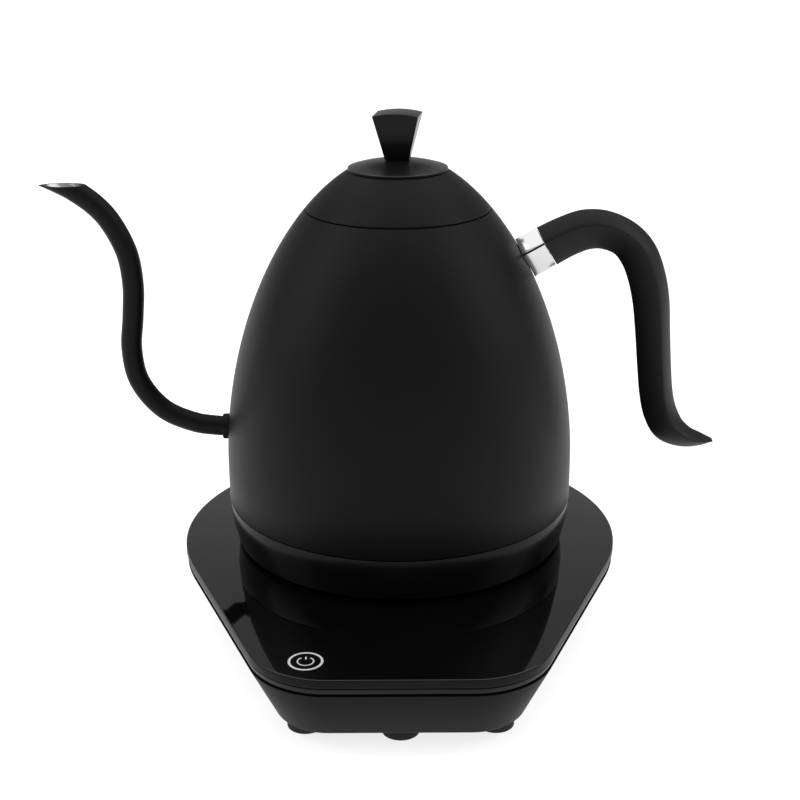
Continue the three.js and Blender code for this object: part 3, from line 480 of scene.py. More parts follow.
def make_materials():
    f = bpy.context.scene.kettle_finishes
    steel, brass = tuple(f.steel), (0.72, 0.5, 0.2)
    MATERIALS.update(
        paint=grained("powder_coat", tuple(f.paint), 0.46, grain=2300, depth=0.05, spread=0.08,
                      vary=0.03, specular_ior_level=0.115),
        plate=grained("satin_coat", tuple(f.paint), 0.3, grain=2600, depth=0.03, spread=0.08,
                      vary=0.03, specular_ior_level=0.5),
        knob=grained("knob_moulding", tuple(f.moulding), 0.24, grain=1900, depth=0.05, spread=0.15,
                     vary=0.04, specular_ior_level=0.13),
        moulding=grained("base_moulding", tuple(f.moulding), 0.5, grain=1500, depth=0.16,
                         spread=0.18, vary=0.05, specular_ior_level=0.09),
        frame=grained("frame_moulding", tuple(f.moulding), 0.3, grain=1700, depth=0.06,
                      spread=0.12, vary=0.04, specular_ior_level=0.18),
        grip=grained("grip_moulding", tuple(f.grip), 0.44, grain=1800, depth=0.08, spread=0.15,
                     vary=0.05, specular_ior_level=0.2),
        chrome=grained("ferrule_chrome", (0.6, 0.6, 0.61), 0.16, grain=500, depth=0.01,
                       spread=0.02, vary=0.02, metallic=1.0),
        glass=glass_finish("glass_black", tuple(f.glass)),
        # Dull ground edge of the glass; on the lid disc's rim the same finish serves as painted
        # shade.
        edge=grained("glass_ground_edge", tuple(f.glass), 0.4, grain=1800, depth=0.05,
                     specular_ior_level=0.12),
        mark=grained("mark_print", tuple(f.mark), 0.5, grain=900, depth=0.02, spread=0.04),
        steel=grained("drawn_steel", steel, 0.27, grain=240, depth=0.05, spread=0.06, vary=0.06,
                      stretch=(1, 1, 14), metallic=1.0),
        screw=grained("screw_steel", steel, 0.3, grain=900, depth=0.05, spread=0.08, metallic=1.0),
        brass=grained("contact_brass", brass, 0.26, grain=700, depth=0.05, spread=0.1,
                      metallic=1.0),
        rubber=grained("foot_rubber", (0.012, 0.012, 0.012), 0.78, grain=1200, depth=0.2,
                       spread=0.25, specular_ior_level=0.35),
        silicone=grained("probe_silicone", (0.42, 0.07, 0.045), 0.55, grain=800, depth=0.1),
        aluminium=grained("cast_aluminium", (0.6, 0.6, 0.62), 0.42, grain=700, depth=0.3,
                          spread=0.12, metallic=1.0),
        sheath=grained("element_sheath", (0.3, 0.29, 0.28), 0.4, grain=600, depth=0.15,
                       spread=0.25, metallic=1.0),
        phenolic=grained("phenolic_case", (0.055, 0.03, 0.018), 0.45, grain=800, depth=0.15,
                         spread=0.25),
        case=grained("buzzer_case", (0.012, 0.012, 0.012), 0.4, grain=900, depth=0.12),
        nylon=grained("spacer_nylon", (0.6, 0.58, 0.5), 0.45, grain=700, depth=0.1),
        window=grained("display_window", (0.008, 0.009, 0.012), 0.15, grain=500, depth=0.02),
        cover=grained("cover_moulding", (0.012, 0.012, 0.013), 0.62, grain=1300, depth=0.25,
                      spread=0.2),
        shutter=grained("shutter_moulding", (0.03, 0.03, 0.032), 0.45, grain=1200, depth=0.12,
                        spread=0.15),
        board=board_finish("circuit_board"),
        relay=banded_finish("relay_case", (0.02, 0.03, 0.1), 60.0, 0.3),
        tape=banded_finish("transformer_tape", (0.5, 0.34, 0.02), 180.0, 0.35),
    )


# The CAD nodes that stay as they are, by the start of their names, and what they are made of.
KEPT_FINISHES = (
    ("housing_screw", "screw"), ("bracket_screw", "screw"), ("skirt_screw", "screw"),
    ("knob_screw", "screw"), ("probe_nut", "screw"), ("power_key_spring", "screw"),
    ("connector_bracket", "steel"), ("handle_core", "steel"), ("floor_pan", "steel"),
    ("temperature_probe", "steel"), ("neck_collar", "steel"), ("base_contact", "brass"),
    ("kettle_contact", "brass"), ("main_board", "board"), ("touch_board", "board"),
    ("relay", "relay"), ("transformer", "tape"), ("buzzer", "case"), ("board_spacer", "nylon"),
    ("display_module", "window"), ("cord_clamp", "moulding"), ("heat_plate", "aluminium"),
    ("heating_element", "sheath"), ("boil_dry_thermostat", "phenolic"),
    ("probe_gasket", "silicone"), ("bottom_cover", "cover"),
)


def finish_kept_nodes():
    """Gives every CAD node that stays its own procedural finish."""
    for name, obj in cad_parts.items():
        for start, key in KEPT_FINISHES:
            if name.startswith(start):
                obj.data.materials.clear()
                obj.data.materials.append(MATERIALS[key])


# ---------------------------------------------------------------- pieces
def body_cutter(gap):
    """The body as a solid with a gap round it, to trim what stands against it."""
    seam, r = dome_height(mm("lid_radius")), mm("body_radius") + gap
    return turned("body_cutter", [(0, mm("skirt_top")), (r, mm("skirt_top")),
                                  *dome_curve(mm("shoulder"), seam, 60, -gap), (0, seam)], 192)


def rod(name, radius, start, end, rotation, segments=48):
    """A round bar to cut with, from one point to another along its turned axis."""
    obj = turned(name, [(0, 0), (radius, 0), (radius, (end - start).length / MM),
                        (0, (end - start).length / MM)], segments)
    bpy.ops.object.mode_set(mode="OBJECT")
    obj.location = start
    obj.rotation_euler = rotation
    return obj


def inner_finish(obj, material, test):
    """Gives the faces that pass a test a second finish."""
    obj.data.materials.append(material)
    bpy.ops.object.mode_set(mode="EDIT")
    bpy.ops.mesh.select_mode(type="FACE")
    choose(test, "faces")
    obj.active_material_index = 1
    bpy.ops.object.material_slot_assign()
    bpy.ops.mesh.select_mode(type="VERT")
    bpy.ops.object.mode_set(mode="OBJECT")


def build_body():
    """The domed shell, painted outside and bare steel inside, with the spout's hole."""
    r, wall = mm("body_radius"), mm("wall")
    bottom = mm("skirt_top") + mm("seam") / 2
    top = dome_height(mm("lid_radius")) - mm("seam") / 2
    neck = mm("lid_radius") - NECK_LAND
    under = top - wall
    outer = dome_curve(mm("shoulder"), top, 64)
    inner = dome_curve(mm("shoulder"), under - 1.5, 32, wall)
    obj = turned("body_shell_fine", [
        (r - wall, bottom), (r, bottom), *outer, (neck, top), (neck, under), (neck + 1.3, under),
        *reversed(inner), (r - wall, bottom)], 192)
    root = mm("spout_root")
    hole = rod("spout_hole", mm("spout_radius") + GAP, place(-r / 2, 0, root),
               place(-r - 2, 0, root), (0, -math.pi / 2, 0))
    cut(obj, hole)
    obj.data.materials.append(MATERIALS["paint"])
    axis = place(0, 0, 0)

    def inside(p):
        z = (p.z - axis.z) / MM
        distance = (p.xy - axis.xy).length / MM
        return distance < body_radius(min(z, top)) - wall / 2 and z < top - wall / 2

    inner_finish(obj, MATERIALS["steel"], inside)
    finish(obj, "kettle", ["body_shell"], None, edge=0.18)


def build_collar_ring():
    """The straight steel ring under the lip that guides the lid's plug."""
    top = dome_height(mm("lid_radius")) - mm("seam") / 2
    neck = mm("lid_radius") - NECK_LAND
    low, high = top - NECK_DEPTH, top - mm("wall") - GAP
    obj = turned("neck_collar_fine", [
        (neck, low), (neck + 1, low), (neck + 1, high), (neck, high), (neck, low)], 144)
    finish(obj, "kettle", ["neck_collar"], MATERIALS["steel"], edge=0.15)


def build_skirt():
    """The moulded ring and floor under the body, with holes for its screws."""
    r, top, foot, floor = (mm("body_radius"), mm("skirt_top") - mm("seam") / 2, SKIRT_FOOT,
                           SKIRT_FLOOR_TOP)
    socket = 18.3
    draw = r - SKIRT_DRAW
    shank, head = 1.8, 3.2
    outer = rounded([(draw - 3, foot), (draw - 0.9, foot), (draw, foot + 1.0),
                     (r - 0.9, top - 8), (r - 0.2, top)], 1.6, 5)
    obj = turned("skirt_ring_fine", [
        (socket, foot), *outer, (r - 2.4, top), (draw - 2.2, floor), (socket, floor),
        (socket, foot)], 192)
    tools = []
    for i in range(SKIRT_SCREWS):
        a = math.pi / 2 + i * math.tau / SKIRT_SCREWS
        x, y = (draw - SKIRT_SCREW_INSET) * math.cos(a), (draw - SKIRT_SCREW_INSET) * math.sin(a)
        tools.append(turned("screw_hole", [(0, -1), (head, -1), (head, 2.0), (shank, 2.0),
                                           (shank, floor + 1), (0, floor + 1)], 32, x, y))
    cut(obj, *tools)
    finish(obj, "kettle", ["skirt_ring"], MATERIALS["knob"], edge=0.2)


def build_socket():
    """The cordless socket, a cup over the post with a flange on the skirt's floor."""
    roof, foot, flange = 11.8, 1.2, 3.5
    bore, outside = SOCKET_BORE, 18.0
    obj = turned("kettle_connector_fine", [
        (0, roof), (bore - 0.6, roof), (bore, roof - 0.6), (bore, foot), (outside, foot),
        (outside, flange), (outside + 5, flange), (outside + 5, flange + 1.8),
        (outside, flange + 1.8), (outside, roof + 2), (0, roof + 2)], 96)
    finish(obj, "kettle", ["kettle_connector"], MATERIALS["moulding"], edge=0.2)


def build_lid():
    """The lid's dome, its liner and seal in the neck, and the crowned disc on top, whose rim is
    darkened as painted shade.
    """
    r, seam = mm("lid_radius"), mm("seam")
    rim = dome_height(r) + seam / 2
    plate = mm("plate_radius")
    top = dome_height(plate)
    seat = top - 0.4
    outer = dome_curve(rim, top, 24)
    inner = dome_curve(rim + 0.6, seat - 2.2, 16, LID_WALL)
    obj = turned("lid_dome_fine", [
        (r - 1.8, rim), *outer, (plate - 0.6, seat), (KNOB_SCREW_BORE, seat),
        (KNOB_SCREW_BORE, seat - LID_WALL),
        *reversed(inner), (r - 1.8, rim)], 144)
    finish(obj, "lid", ["lid_dome"], MATERIALS["paint"], edge=0.15)

    liner, foot, flange = r - 5.0, rim - 11, rim + 1.4
    reach = dome_point(flange + 1.2, 1.8)[0]
    obj = turned("lid_liner_fine", [
        (0, foot), (liner - 8, foot), (liner - 8.6, foot + 0.6), (liner - 9.8, foot + 0.6),
        (liner - 10.4, foot), (liner, foot), (liner, flange), (reach, flange),
        (reach, flange + 1.2), (liner - 1.2, flange + 1.2), (liner - 1.2, foot + 1.2),
        (0, foot + 1.2)], 144)
    finish(obj, "lid", ["lid_liner"], MATERIALS["moulding"], edge=0.3)

    high, inside, outside = rim - seam - 2.2, liner + GAP, liner + GAP + 1.3
    ribs = []
    for i in range(3):
        z = high - 0.5 - 1.25 * i
        ribs += [(outside, z), (outside - 0.15, z - 0.45), (outside - 0.55, z - 0.6),
                 (outside - 0.15, z - 0.85)]
    obj = turned("lid_seal_fine", [
        (inside, high - 4), (inside, high), (outside - 0.4, high), *ribs,
        (outside - 0.4, high - 4), (inside, high - 4)], 144)
    finish(obj, "lid", ["lid_seal"], MATERIALS["rubber"], smooth=50)

    edge, crown = top + PLATE_EDGE, top + PLATE_EDGE + PLATE_CROWN
    arc = [(plate * s, crown - PLATE_CROWN * s ** 2)
           for s in (0.96, 0.9, 0.8, 0.7, 0.6, 0.5, 0.4, 0.3, 0.2)]
    rim_arc = rounded([(plate, top + GAP), (plate, edge), arc[0]], 0.25, 3)
    obj = turned("lid_plate_fine", [
        (KNOB_SCREW_BORE, seat + GAP), (plate - 0.9, seat + GAP), (plate - 0.6, top + GAP),
        *rim_arc, *arc[1:], (KNOB_SCREW_BORE, crown), (KNOB_SCREW_BORE, seat + GAP)], 144)
    bpy.ops.object.mode_set(mode="OBJECT")
    obj.data.materials.append(MATERIALS["plate"])
    # The disc's rim and underside take the darker, duller edge finish: painted shade under the
    # disc's rim.
    below = place(0, 0, edge - 0.05).z
    inner_finish(obj, MATERIALS["edge"], lambda p: p.z < below)
    finish(obj, "lid", ["lid_plate"], None, edge=0.1)


def build_knob():
    """A block that spreads from a small foot to a wide top with a slight arch."""
    seat = dome_height(mm("plate_radius")) + PLATE_EDGE + PLATE_CROWN
    lift = 0.05
    foot = seat + lift
    tall, arch, cuts = 17.4 + GAP - lift, 1.1, 11
    low, high = (9.6, 6.0), (18.2, 15.0)
    obj = begin("lid_knob_fine", "cube", size=1.0, location=place(0, 0, foot + tall / 2))
    middle = obj.location.copy()
    for (w, d), is_top in ((low, False), (high, True)):
        choose(lambda p, t=is_top: (p.z > middle.z) == t)
        stretch((w * MM, d * MM, tall * MM), middle)
    bpy.ops.mesh.select_mode(type="EDGE")
    choose(lambda p: abs(p.x - middle.x) < 1e-5, "edges")
    bpy.ops.mesh.subdivide(number_cuts=cuts)
    bpy.ops.mesh.select_mode(type="VERT")
    for i in range(1, cuts + 1):
        s = 2 * i / (cuts + 1) - 1
        column = middle.x + s * high[0] / 2 * MM
        choose(lambda p, c=column: p.z > middle.z and abs(p.x - c) < 1e-5)
        bpy.ops.transform.translate(value=(0, 0, arch * (1 - s * s) * MM))
    tidy()
    hole = turned("knob_tap", [(0, foot - 1), (KNOB_SCREW_BORE, foot - 1),
                               (KNOB_SCREW_BORE, foot + 10), (0, foot + 10)], 32)
    cut(obj, hole)
    modify(obj, "BEVEL", width=0.75 * MM, segments=4, limit_method="ANGLE",
           angle_limit=math.radians(50), profile=0.6)
    obj.rotation_euler = (0, 0, math.radians(-8))
    finish(obj, "lid", ["lid_knob"], MATERIALS["knob"], smooth=40)


# Spout centre line: distance out from the body and up from its root, in millimetres.
SPOUT_LINE = (
    (-3.4, 0), (0, 0), (6.4, 0.5), (13.9, 1.7), (27.1, 7.8), (36.7, 20.4), (39.1, 34.6),
    (37.7, 48.5), (36.8, 62.1), (38.5, 75.7), (44.6, 88.9), (50.3, 95.6), (58.7, 101.9),
    (62.1, 103.8), (69.5, 107.4), (76, 109.8))
# Grip centre line from the ferrule's end: out, up, share of its height, share of its width.
GRIP_LINE = (
    (0, 0, 1, 1), (7.7, 4, 0.97, 1), (15.3, 6.7, 0.95, 1), (22.8, 6.7, 0.9, 1),
    (31.8, 2.9, 0.85, 1), (37.3, -3.3, 0.87, 1), (40.9, -11.7, 0.87, 1), (43.4, -22.2, 0.86, 1),
    (44.9, -35.9, 0.82, 1), (46.2, -49.9, 0.8, 1), (47.9, -64.1, 0.79, 1),
    (49.9, -71.9, 0.79, 1), (53.7, -78.8, 0.76, 1.02), (60.5, -83.1, 0.56, 1.05),
    (67.4, -84.5, 0.33, 0.95), (72.6, -84.9, 0.07, 0.4))


def sweep(stations, side):
    """Extrudes the selected ring through [x, z, slope, height share, width share] stations.

    The ring starts square to the X axis. `side` is 1 where the path runs to +X and -1 to -X."""
    x0, z0, slope0, h0, w0 = stations[0]
    turn(-side * slope0, place(x0, 0, z0))
    for x, z, slope, h, w in stations[1:]:
        pull(x - x0, 0, z - z0)
        centre = place(x, 0, z)
        turn(side * slope0, centre)
        stretch((1, w / w0, h / h0), centre)
        turn(-side * slope, centre)
        x0, z0, slope0, h0, w0 = x, z, slope, h, w


def close_ends():
    """Closes the open rings at a sweep's two ends."""
    bpy.ops.mesh.select_all(action="SELECT")
    bpy.ops.mesh.fill_holes(sides=0)


def slopes(points, side):
    """Slope of a path of (x, z) points at each of them."""
    out = []
    for i in range(len(points)):
        a, b = points[max(i - 1, 0)], points[min(i + 1, len(points) - 1)]
        out.append(math.atan2(b[1] - a[1], side * (b[0] - a[0])))
    return out


def build_spout():
    """The gooseneck tube, cut level at its beak, and the small collar at its root."""
    root, r0 = mm("spout_root"), mm("spout_radius")
    wall = r0 - mm("spout_bore")
    start = -body_radius(root)
    line = [(start - out, root + up) for out, up in smooth_path(SPOUT_LINE, 7)]
    angles = slopes(line, -1)
    reach = [0.0]
    for a, b in zip(line, line[1:]):
        reach.append(reach[-1] + math.dist(a, b))
    grow = mm("spout_tip") / r0 - 1
    stations = []
    for (x, z), a, s in zip(line, angles, reach):
        share = 1 + grow * s / reach[-1]
        stations.append((x, z, a, share, share))
    obj = begin("spout_tube_fine", "circle", vertices=48, radius=r0 * MM,
                location=place(line[0][0], 0, line[0][1]), rotation=(0, math.pi / 2, 0))
    sweep(stations, -1)
    tidy()
    bpy.ops.object.mode_set(mode="OBJECT")
    obj.data.materials.append(MATERIALS["paint"])
    obj.data.materials.append(MATERIALS["steel"])
    modify(obj, "SOLIDIFY", thickness=wall * MM, offset=-1, use_rim=True, use_even_offset=True,
           material_offset=1, material_offset_rim=1)
    tip_x, cut_z = line[-1][0], root + mm("spout_cut")
    above = begin("above_tip", "cube", size=1, location=place(tip_x, 0, cut_z + 20),
                  scale=(0.08, 0.04, 0.04))
    cut(obj, above)
    finish(obj, "kettle", ["spout_tube"], None, edge=0.12, smooth=45)

    inside = r0 + GAP
    collar = turned("spout_collar_fine", [
        (inside, 0), (inside + 0.9, 0), *rounded(
            [(inside + 0.9, 3), (inside + 0.9, r0 + 2.5), (inside, r0 + 2.5)], 0.6, 5),
        (inside, 0)], 64)
    bpy.ops.object.mode_set(mode="OBJECT")
    collar.rotation_euler = (0, -math.pi / 2, 0)
    collar.location = place(start + r0, 0, root)
    cut(collar, body_cutter(GAP))
    finish(collar, "kettle", ["spout_collar"], MATERIALS["paint"])


def kite_ring(name, x, z, count=72, soft=1.44):
    """A ring square to the X axis whose points are moved to the handle's kite section."""
    half_h, half_w = mm("handle_half_height"), mm("handle_half_width")
    crease = half_h / 3
    obj = begin(name, "circle", vertices=count, radius=half_w * MM, location=place(x, 0, z),
                rotation=(0, math.pi / 2, 0))
    centre = place(x, 0, z)
    mesh = bmesh.from_edit_mesh(obj.data)
    spots = [obj.matrix_world @ v.co for v in mesh.verts]
    for i, spot in enumerate(spots):
        y, v = (spot.y - centre.y) / MM / half_w, (spot.z - centre.z) / MM / half_w
        reach = half_h - crease if v > 0 else half_h + crease
        y2 = half_w * math.copysign(abs(y) ** soft, y)
        v2 = crease + reach * math.copysign(abs(v) ** soft, v)
        mesh = bmesh.from_edit_mesh(obj.data)
        mesh.verts.ensure_lookup_table()
        for other in mesh.verts:
            other.select = other.index == i
        mesh.select_flush_mode()
        bpy.ops.transform.translate(
            value=(0, (y2 * MM + centre.y) - spot.y, (v2 * MM + centre.z) - spot.z))
    bpy.ops.mesh.select_all(action="SELECT")
    return obj


def build_handle():
    """The chrome ferrule with a groove along each crease, filled black as a painted dark
    reflection, and the curved grip.
    """
    rise = angle("handle_angle")
    seam = dome_height(mm("lid_radius"))
    root_z = seam - mm("handle_drop")
    root = (body_radius(root_z), root_z)
    along = (math.cos(rise), math.sin(rise))

    def on_axis(distance):
        return (root[0] + along[0] * distance, root[1] + along[1] * distance)

    def bored(name, start, end):
        low, high = on_axis(start), on_axis(end)
        return rod(name, HANDLE_ROD_BORE, place(low[0], 0, low[1]), place(high[0], 0, high[1]),
                   (0, math.pi / 2 - rise, 0))

    ends = [on_axis(-12), on_axis(mm("ferrule") - GAP)]
    ferrule = kite_ring("handle_ferrule_fine", *ends[0], soft=1.7)
    sweep([(*ends[0], rise, 1, 1), (*ends[1], rise, 1, 1)], 1)
    close_ends()
    tidy()
    bpy.ops.object.mode_set(mode="OBJECT")
    bore = bored("core_hole", -14, 24)
    lines = []
    # Two grooves along the creases, which the black moulding fills as a painted dark reflection.
    for side in (-1, 1):
        middle = on_axis(mm("ferrule") / 2)
        lift = mm("handle_half_height") / 3
        line = begin("ferrule_line", "cube", size=1, scale=(0.04, 0.0016, 0.0007), location=place(
            middle[0] - lift * math.sin(rise), side * mm("handle_half_width"),
            middle[1] + lift * math.cos(rise)), rotation=(0, -rise, 0))
        bpy.ops.object.mode_set(mode="OBJECT")
        lines.append(line)
    cut(ferrule, bore, body_cutter(GAP), *lines)
    ferrule.data.materials.append(MATERIALS["chrome"])

    def in_painted_reflection(p):
        """Whether a face lies in one of the two grooves along the creases, which hold a painted
        dark reflection.
        """
        x, z = (p.x - AXIS_X) / MM - root[0], (p.z - GLASS_Z) / MM - root[1]
        rise_off = z * along[0] - x * along[1] - mm("handle_half_height") / 3
        return abs(rise_off) < 0.36 and abs(p.y - AXIS_Y) / MM > 4.5

    # The grooves' faces take the black moulding: a painted dark reflection of the crease in the
    # chrome.
    inner_finish(ferrule, MATERIALS["moulding"], in_painted_reflection)
    finish(ferrule, "kettle", ["handle_ferrule"], None, edge=0.12, smooth=28)

    start = on_axis(mm("ferrule"))
    path = smooth_path(GRIP_LINE, 6)
    line = [(start[0] + p[0], start[1] + p[1]) for p in path]
    angles = slopes(line, 1)
    angles[0] = rise
    stations = [(x, z, a, p[2], p[3]) for (x, z), a, p in zip(line, angles, path)]
    grip = kite_ring("handle_grip_fine", *start, soft=1.62)
    sweep(stations, 1)
    close_ends()
    tidy()
    bpy.ops.object.mode_set(mode="OBJECT")
    bore = bored("core_socket", 2, mm("ferrule") + 13.3)
    cut(grip, bore)
    finish(grip, "kettle", ["handle_grip"], MATERIALS["grip"], edge=0.4,
           segments=3, smooth=40)


def corner_centre():
    """Centre of the right front corner's rounding on the base."""
    back, corner, taper = mm("base_radius"), mm("base_corner"), angle("base_taper")
    y = corner - mm("base_front")
    return ((back - corner + y * math.sin(taper)) / math.cos(taper), y)


def hulled(name, levels):
    """A solid whose outline wraps the round back and the two front corners at [inset, z]
    levels."""
    x, y = corner_centre()
    circles = [(0, 0, mm("base_radius"), 320), (x, y, mm("base_corner"), 160),
               (-x, y, mm("base_corner"), 160)]
    obj = None
    for inset, z in levels:
        for cx, cy, r, count in circles:
            settings = {"vertices": count, "radius": (r - inset) * MM,
                        "location": place(cx, cy, z)}
            if obj is None:
                obj = begin(name, "circle", **settings)
            else:
                bpy.ops.mesh.primitive_circle_add(**settings)
    bpy.ops.mesh.select_all(action="SELECT")
    bpy.ops.mesh.convex_hull(delete_unused=True, use_existing_faces=False, join_triangles=False)
    bpy.ops.mesh.select_all(action="SELECT")
    bpy.ops.mesh.dissolve_limited(angle_limit=math.radians(0.2))
    tidy()
    return obj


def base_levels():
    """Heights of the frame's foot, the housing's top and foot, and the cover's face."""
    frame_foot = -mm("glass") - GAP - FRAME_HEIGHT
    high = frame_foot - HOUSING_SEAM
    low = high - HOUSING_HEIGHT
    return frame_foot, high, low, low + COVER_SET


def build_base():
    """The glass with the post's hole, the frame under it, the housing and the cord's gland."""
    glass, post_hole = mm("glass"), SOCKET_BORE
    foot, high, low, cover = base_levels()
    obj = hulled("glass_top_fine", [(0, -glass), (0, 0)])
    hole = turned("post_hole", [(0, -8), (post_hole, -8), (post_hole, 8), (0, 8)], 96)
    cut(obj, hole)
    obj.data.materials.append(MATERIALS["glass"])
    below = place(0, 0, -0.1).z
    inner_finish(obj, MATERIALS["edge"], lambda p: p.z < below)
    finish(obj, "base", ["glass_top"], None, edge=0.45, segments=4)

    top = -glass - GAP
    frame_solid = hulled("bezel_frame_fine", [(0.8, foot), (0.2, top)])
    cut(frame_solid, hulled("frame_opening", [(7, foot - 5), (7, top + 1)]))
    finish(frame_solid, "base", ["bezel_frame"], MATERIALS["frame"], edge=0.3,
           segments=3)

    slant = (HOUSING_INSET - HOUSING_TOP_INSET) / HOUSING_HEIGHT
    gland_z = (foot - FRAME_LIP + cover + COVER_THICKNESS) / 2
    shell = hulled("lower_housing_fine", [
        (11.8, low), (HOUSING_TOP_INSET + slant * (high - cover), cover),
        (HOUSING_TOP_INSET, high)])
    hollow = hulled("housing_hollow", [(14.0, low - 1), (2.7, high + 1)])
    wall_y = mm("base_radius") - HOUSING_TOP_INSET - slant * (high - gland_z)
    inlet = rod("cord_inlet", 4.9, place(0, wall_y - 24, gland_z), place(0, wall_y + 24, gland_z),
                (-math.pi / 2, 0, 0))
    cut(shell, hollow, inlet)
    finish(shell, "base", ["lower_housing"], MATERIALS["moulding"], edge=0.5,
           segments=3)

    gland = turned("cord_gland_fine", [
        (2.6, 0), (4.6, 0), (4.6, 4), (4.1, 4.3), (4.1, 5.3), (4.6, 5.6), (4.6, 11.2),
        *rounded([(4.6, 11.2), (4.6, 12), (2.6, 12)], 0.7, 5)[1:], (2.6, 0)], 64)
    bpy.ops.object.mode_set(mode="OBJECT")
    gland.rotation_euler = (-math.pi / 2, 0, 0)
    gland.location = place(0, wall_y + 0.6 - 12, gland_z)
    finish(gland, "base", ["cord_gland"], MATERIALS["rubber"], edge=0.15)


def build_feet():
    """One turned rubber foot, copied to each of the five places."""
    low = GLASS_Z / MM
    names = ("front_centre", "front_left", "front_right", "rear_left", "rear_right")
    cover, model = base_levels()[3], None
    for name in names:
        node = f"foot_{name}"
        corner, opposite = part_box(node)
        x = ((corner.x + opposite.x) / 2 - AXIS_X) / MM
        y = ((corner.y + opposite.y) / 2 - AXIS_Y) / MM
        if model is None:
            model = turned("foot_model", [
                (0, -low + 0.4), (3.4, -low + 0.4), (4.0, -low),
                *rounded([(6.2, -low), (7.2, -low), (7.2, -low + 1.4)], 0.8, 5),
                (7.2, cover - GAP), (3.2, cover - GAP), (3.2, cover + COVER_THICKNESS),
                (0, cover + COVER_THICKNESS)], 64)
            bpy.ops.object.mode_set(mode="OBJECT")
        bpy.ops.object.select_all(action="DESELECT")
        model.select_set(True)
        bpy.context.view_layer.objects.active = model
        bpy.ops.object.duplicate(linked=False)
        copy = bpy.context.object
        copy.name = copy.data.name = f"{node}_fine"
        bpy.ops.transform.translate(value=(x * MM, y * MM, 0))
        finish(copy, "base", [node], MATERIALS["rubber"], edge=0.2)
    bpy.data.objects.remove(model)


def build_post():
    """The connector post with its three contact slots, and the shutter ring round it."""
    top, neck, flange = POST_HEIGHT, 15.1, 24.0
    post, shoulder, flange_height = 12.0, 0.9, 3.6
    under = -mm("glass") - GAP
    slot = 1.7
    floor = top - 9.4
    profile = [(0, under - flange_height), (flange, under - flange_height), (flange, under),
               (neck, under), (neck, shoulder), (post, shoulder), (post, top)]
    for r in (8.6, 5.0):
        profile += [(r + slot, top), (r + slot, floor), (r - GAP, floor), (r - GAP, top)]
    profile += [(1.4 + slot, top), (1.4 + slot, floor), (0, floor)]
    obj = turned("connector_post_fine", profile, 96)
    finish(obj, "base", ["connector_post"], MATERIALS["moulding"], edge=0.2)

    low, high, inside, outside = 1.2, 9.2, 12.3, 14.8
    obj = turned("shutter_ring_fine", [
        (inside, low), (outside, low),
        *rounded([(outside, high - 2), (outside, high), (inside, high)], 0.8, 5),
        (inside, low)], 96)
    finish(obj, "shutter", ["shutter_ring"], MATERIALS["shutter"], edge=0.15)


def build_mark():
    """The printed power mark on the glass: a ring round an open circle with a short bar."""
    (x, y), thick = MARK_AT, MARK_THICKNESS

    def printed(name, inside, outside):
        return turned(name, [(inside, 0), (outside, 0), (outside, thick), (inside, thick),
                             (inside, 0)], 96, x, y)

    ring = printed("power_mark_ring", 5.6, 6.5)
    finish(ring, "base", [], MATERIALS["mark"])
    centre = place(x, y, 0)
    arc = printed("power_mark_arc", 2.7, 3.2)

    def in_gap(p):
        return p.y > centre.y and abs(p.x - centre.x) < math.tan(math.radians(32)) * (
            p.y - centre.y)

    bpy.ops.mesh.select_mode(type="FACE")
    choose(in_gap, "faces")
    bpy.ops.mesh.delete(type="FACE")
    bpy.ops.mesh.select_mode(type="VERT")
    bpy.ops.mesh.select_all(action="SELECT")
    bpy.ops.mesh.fill_holes(sides=8)
    finish(arc, "base", [], MATERIALS["mark"])
    bar = begin("power_mark_bar", "cube", size=1, location=place(x, y + 2.3, thick / 2),
                scale=(0.55 * MM, 2.0 * MM, thick * MM))
    half_way = place(0, 0, thick / 2).z
    bpy.ops.mesh.select_mode(type="EDGE")
    choose(lambda p: abs(p.z - half_way) < 1e-7, "edges")
    bpy.ops.mesh.bevel(offset=0.24 * MM, segments=5)
    bpy.ops.mesh.select_mode(type="VERT")
    finish(bar, "base", [], MATERIALS["mark"])


# ---------------------------------------------------------------- stage
def softbox(name, location, target, size, watts):
    """A rectangular area light that faces a point."""
    light = bpy.data.lights.new(name, "AREA")
    light.shape = "RECTANGLE"
    light.size, light.size_y = size
    light.energy = watts
    obj = bpy.data.objects.new(name, light)
    bpy.context.collection.objects.link(obj)
    obj.location = location
    obj.rotation_euler = (Vector(target) - Vector(location)).to_track_quat("-Z", "Y").to_euler()


def build_floor():
    """A pale floor whose own glow rises with distance, where the lights reach less."""
    width, behind = 12, 2
    bpy.ops.object.select_all(action="DESELECT")
    bpy.ops.mesh.primitive_plane_add(size=width, location=(AXIS_X, AXIS_Y + behind, 0))
    floor = bpy.context.object
    floor.name = floor.data.name = "studio_floor"
    bpy.ops.object.transform_apply(location=True, rotation=True, scale=True)
    tone = tuple(bpy.context.scene.kettle_finishes.floor)
    near_glow, far_glow = (0.78,) * 3, (0.92,) * 3
    surface = Surface("studio_floor", roughness=0.9, specular_ior_level=0.1,
                      emission_strength=1.0)
    away = surface.node("ShaderNodeVectorMath", {"operation": "LENGTH"}, {0: surface.place},
                        "Value")
    surface.feed("Emission Color", surface.ramp(away * 0.3, (0.1, near_glow), (0.7, far_glow)))
    dark, light = shades(tone, 0.01)
    surface.feed("Base Color", surface.ramp(surface.noise(3), (0.3, dark), (0.7, light)))
    floor.data.materials.append(surface.material)


def build_card():
    """A dark card behind and above the kettle, for the glass to mirror."""
    behind, height, size = 1.5, 1.2, (0.514, 1.04, 1)
    bpy.ops.mesh.primitive_plane_add(size=1, location=(AXIS_X, AXIS_Y + behind, height),
                                     rotation=(math.pi / 2, 0, 0))
    card = bpy.context.object
    card.scale = size
    card.name = card.data.name = "studio_card"
    bpy.ops.object.transform_apply(location=True, rotation=True, scale=True)
    card.data.materials.append(grained("card_cloth", (0.004, 0.004, 0.004), 0.9, grain=300,
                                       specular_ior_level=0.05))


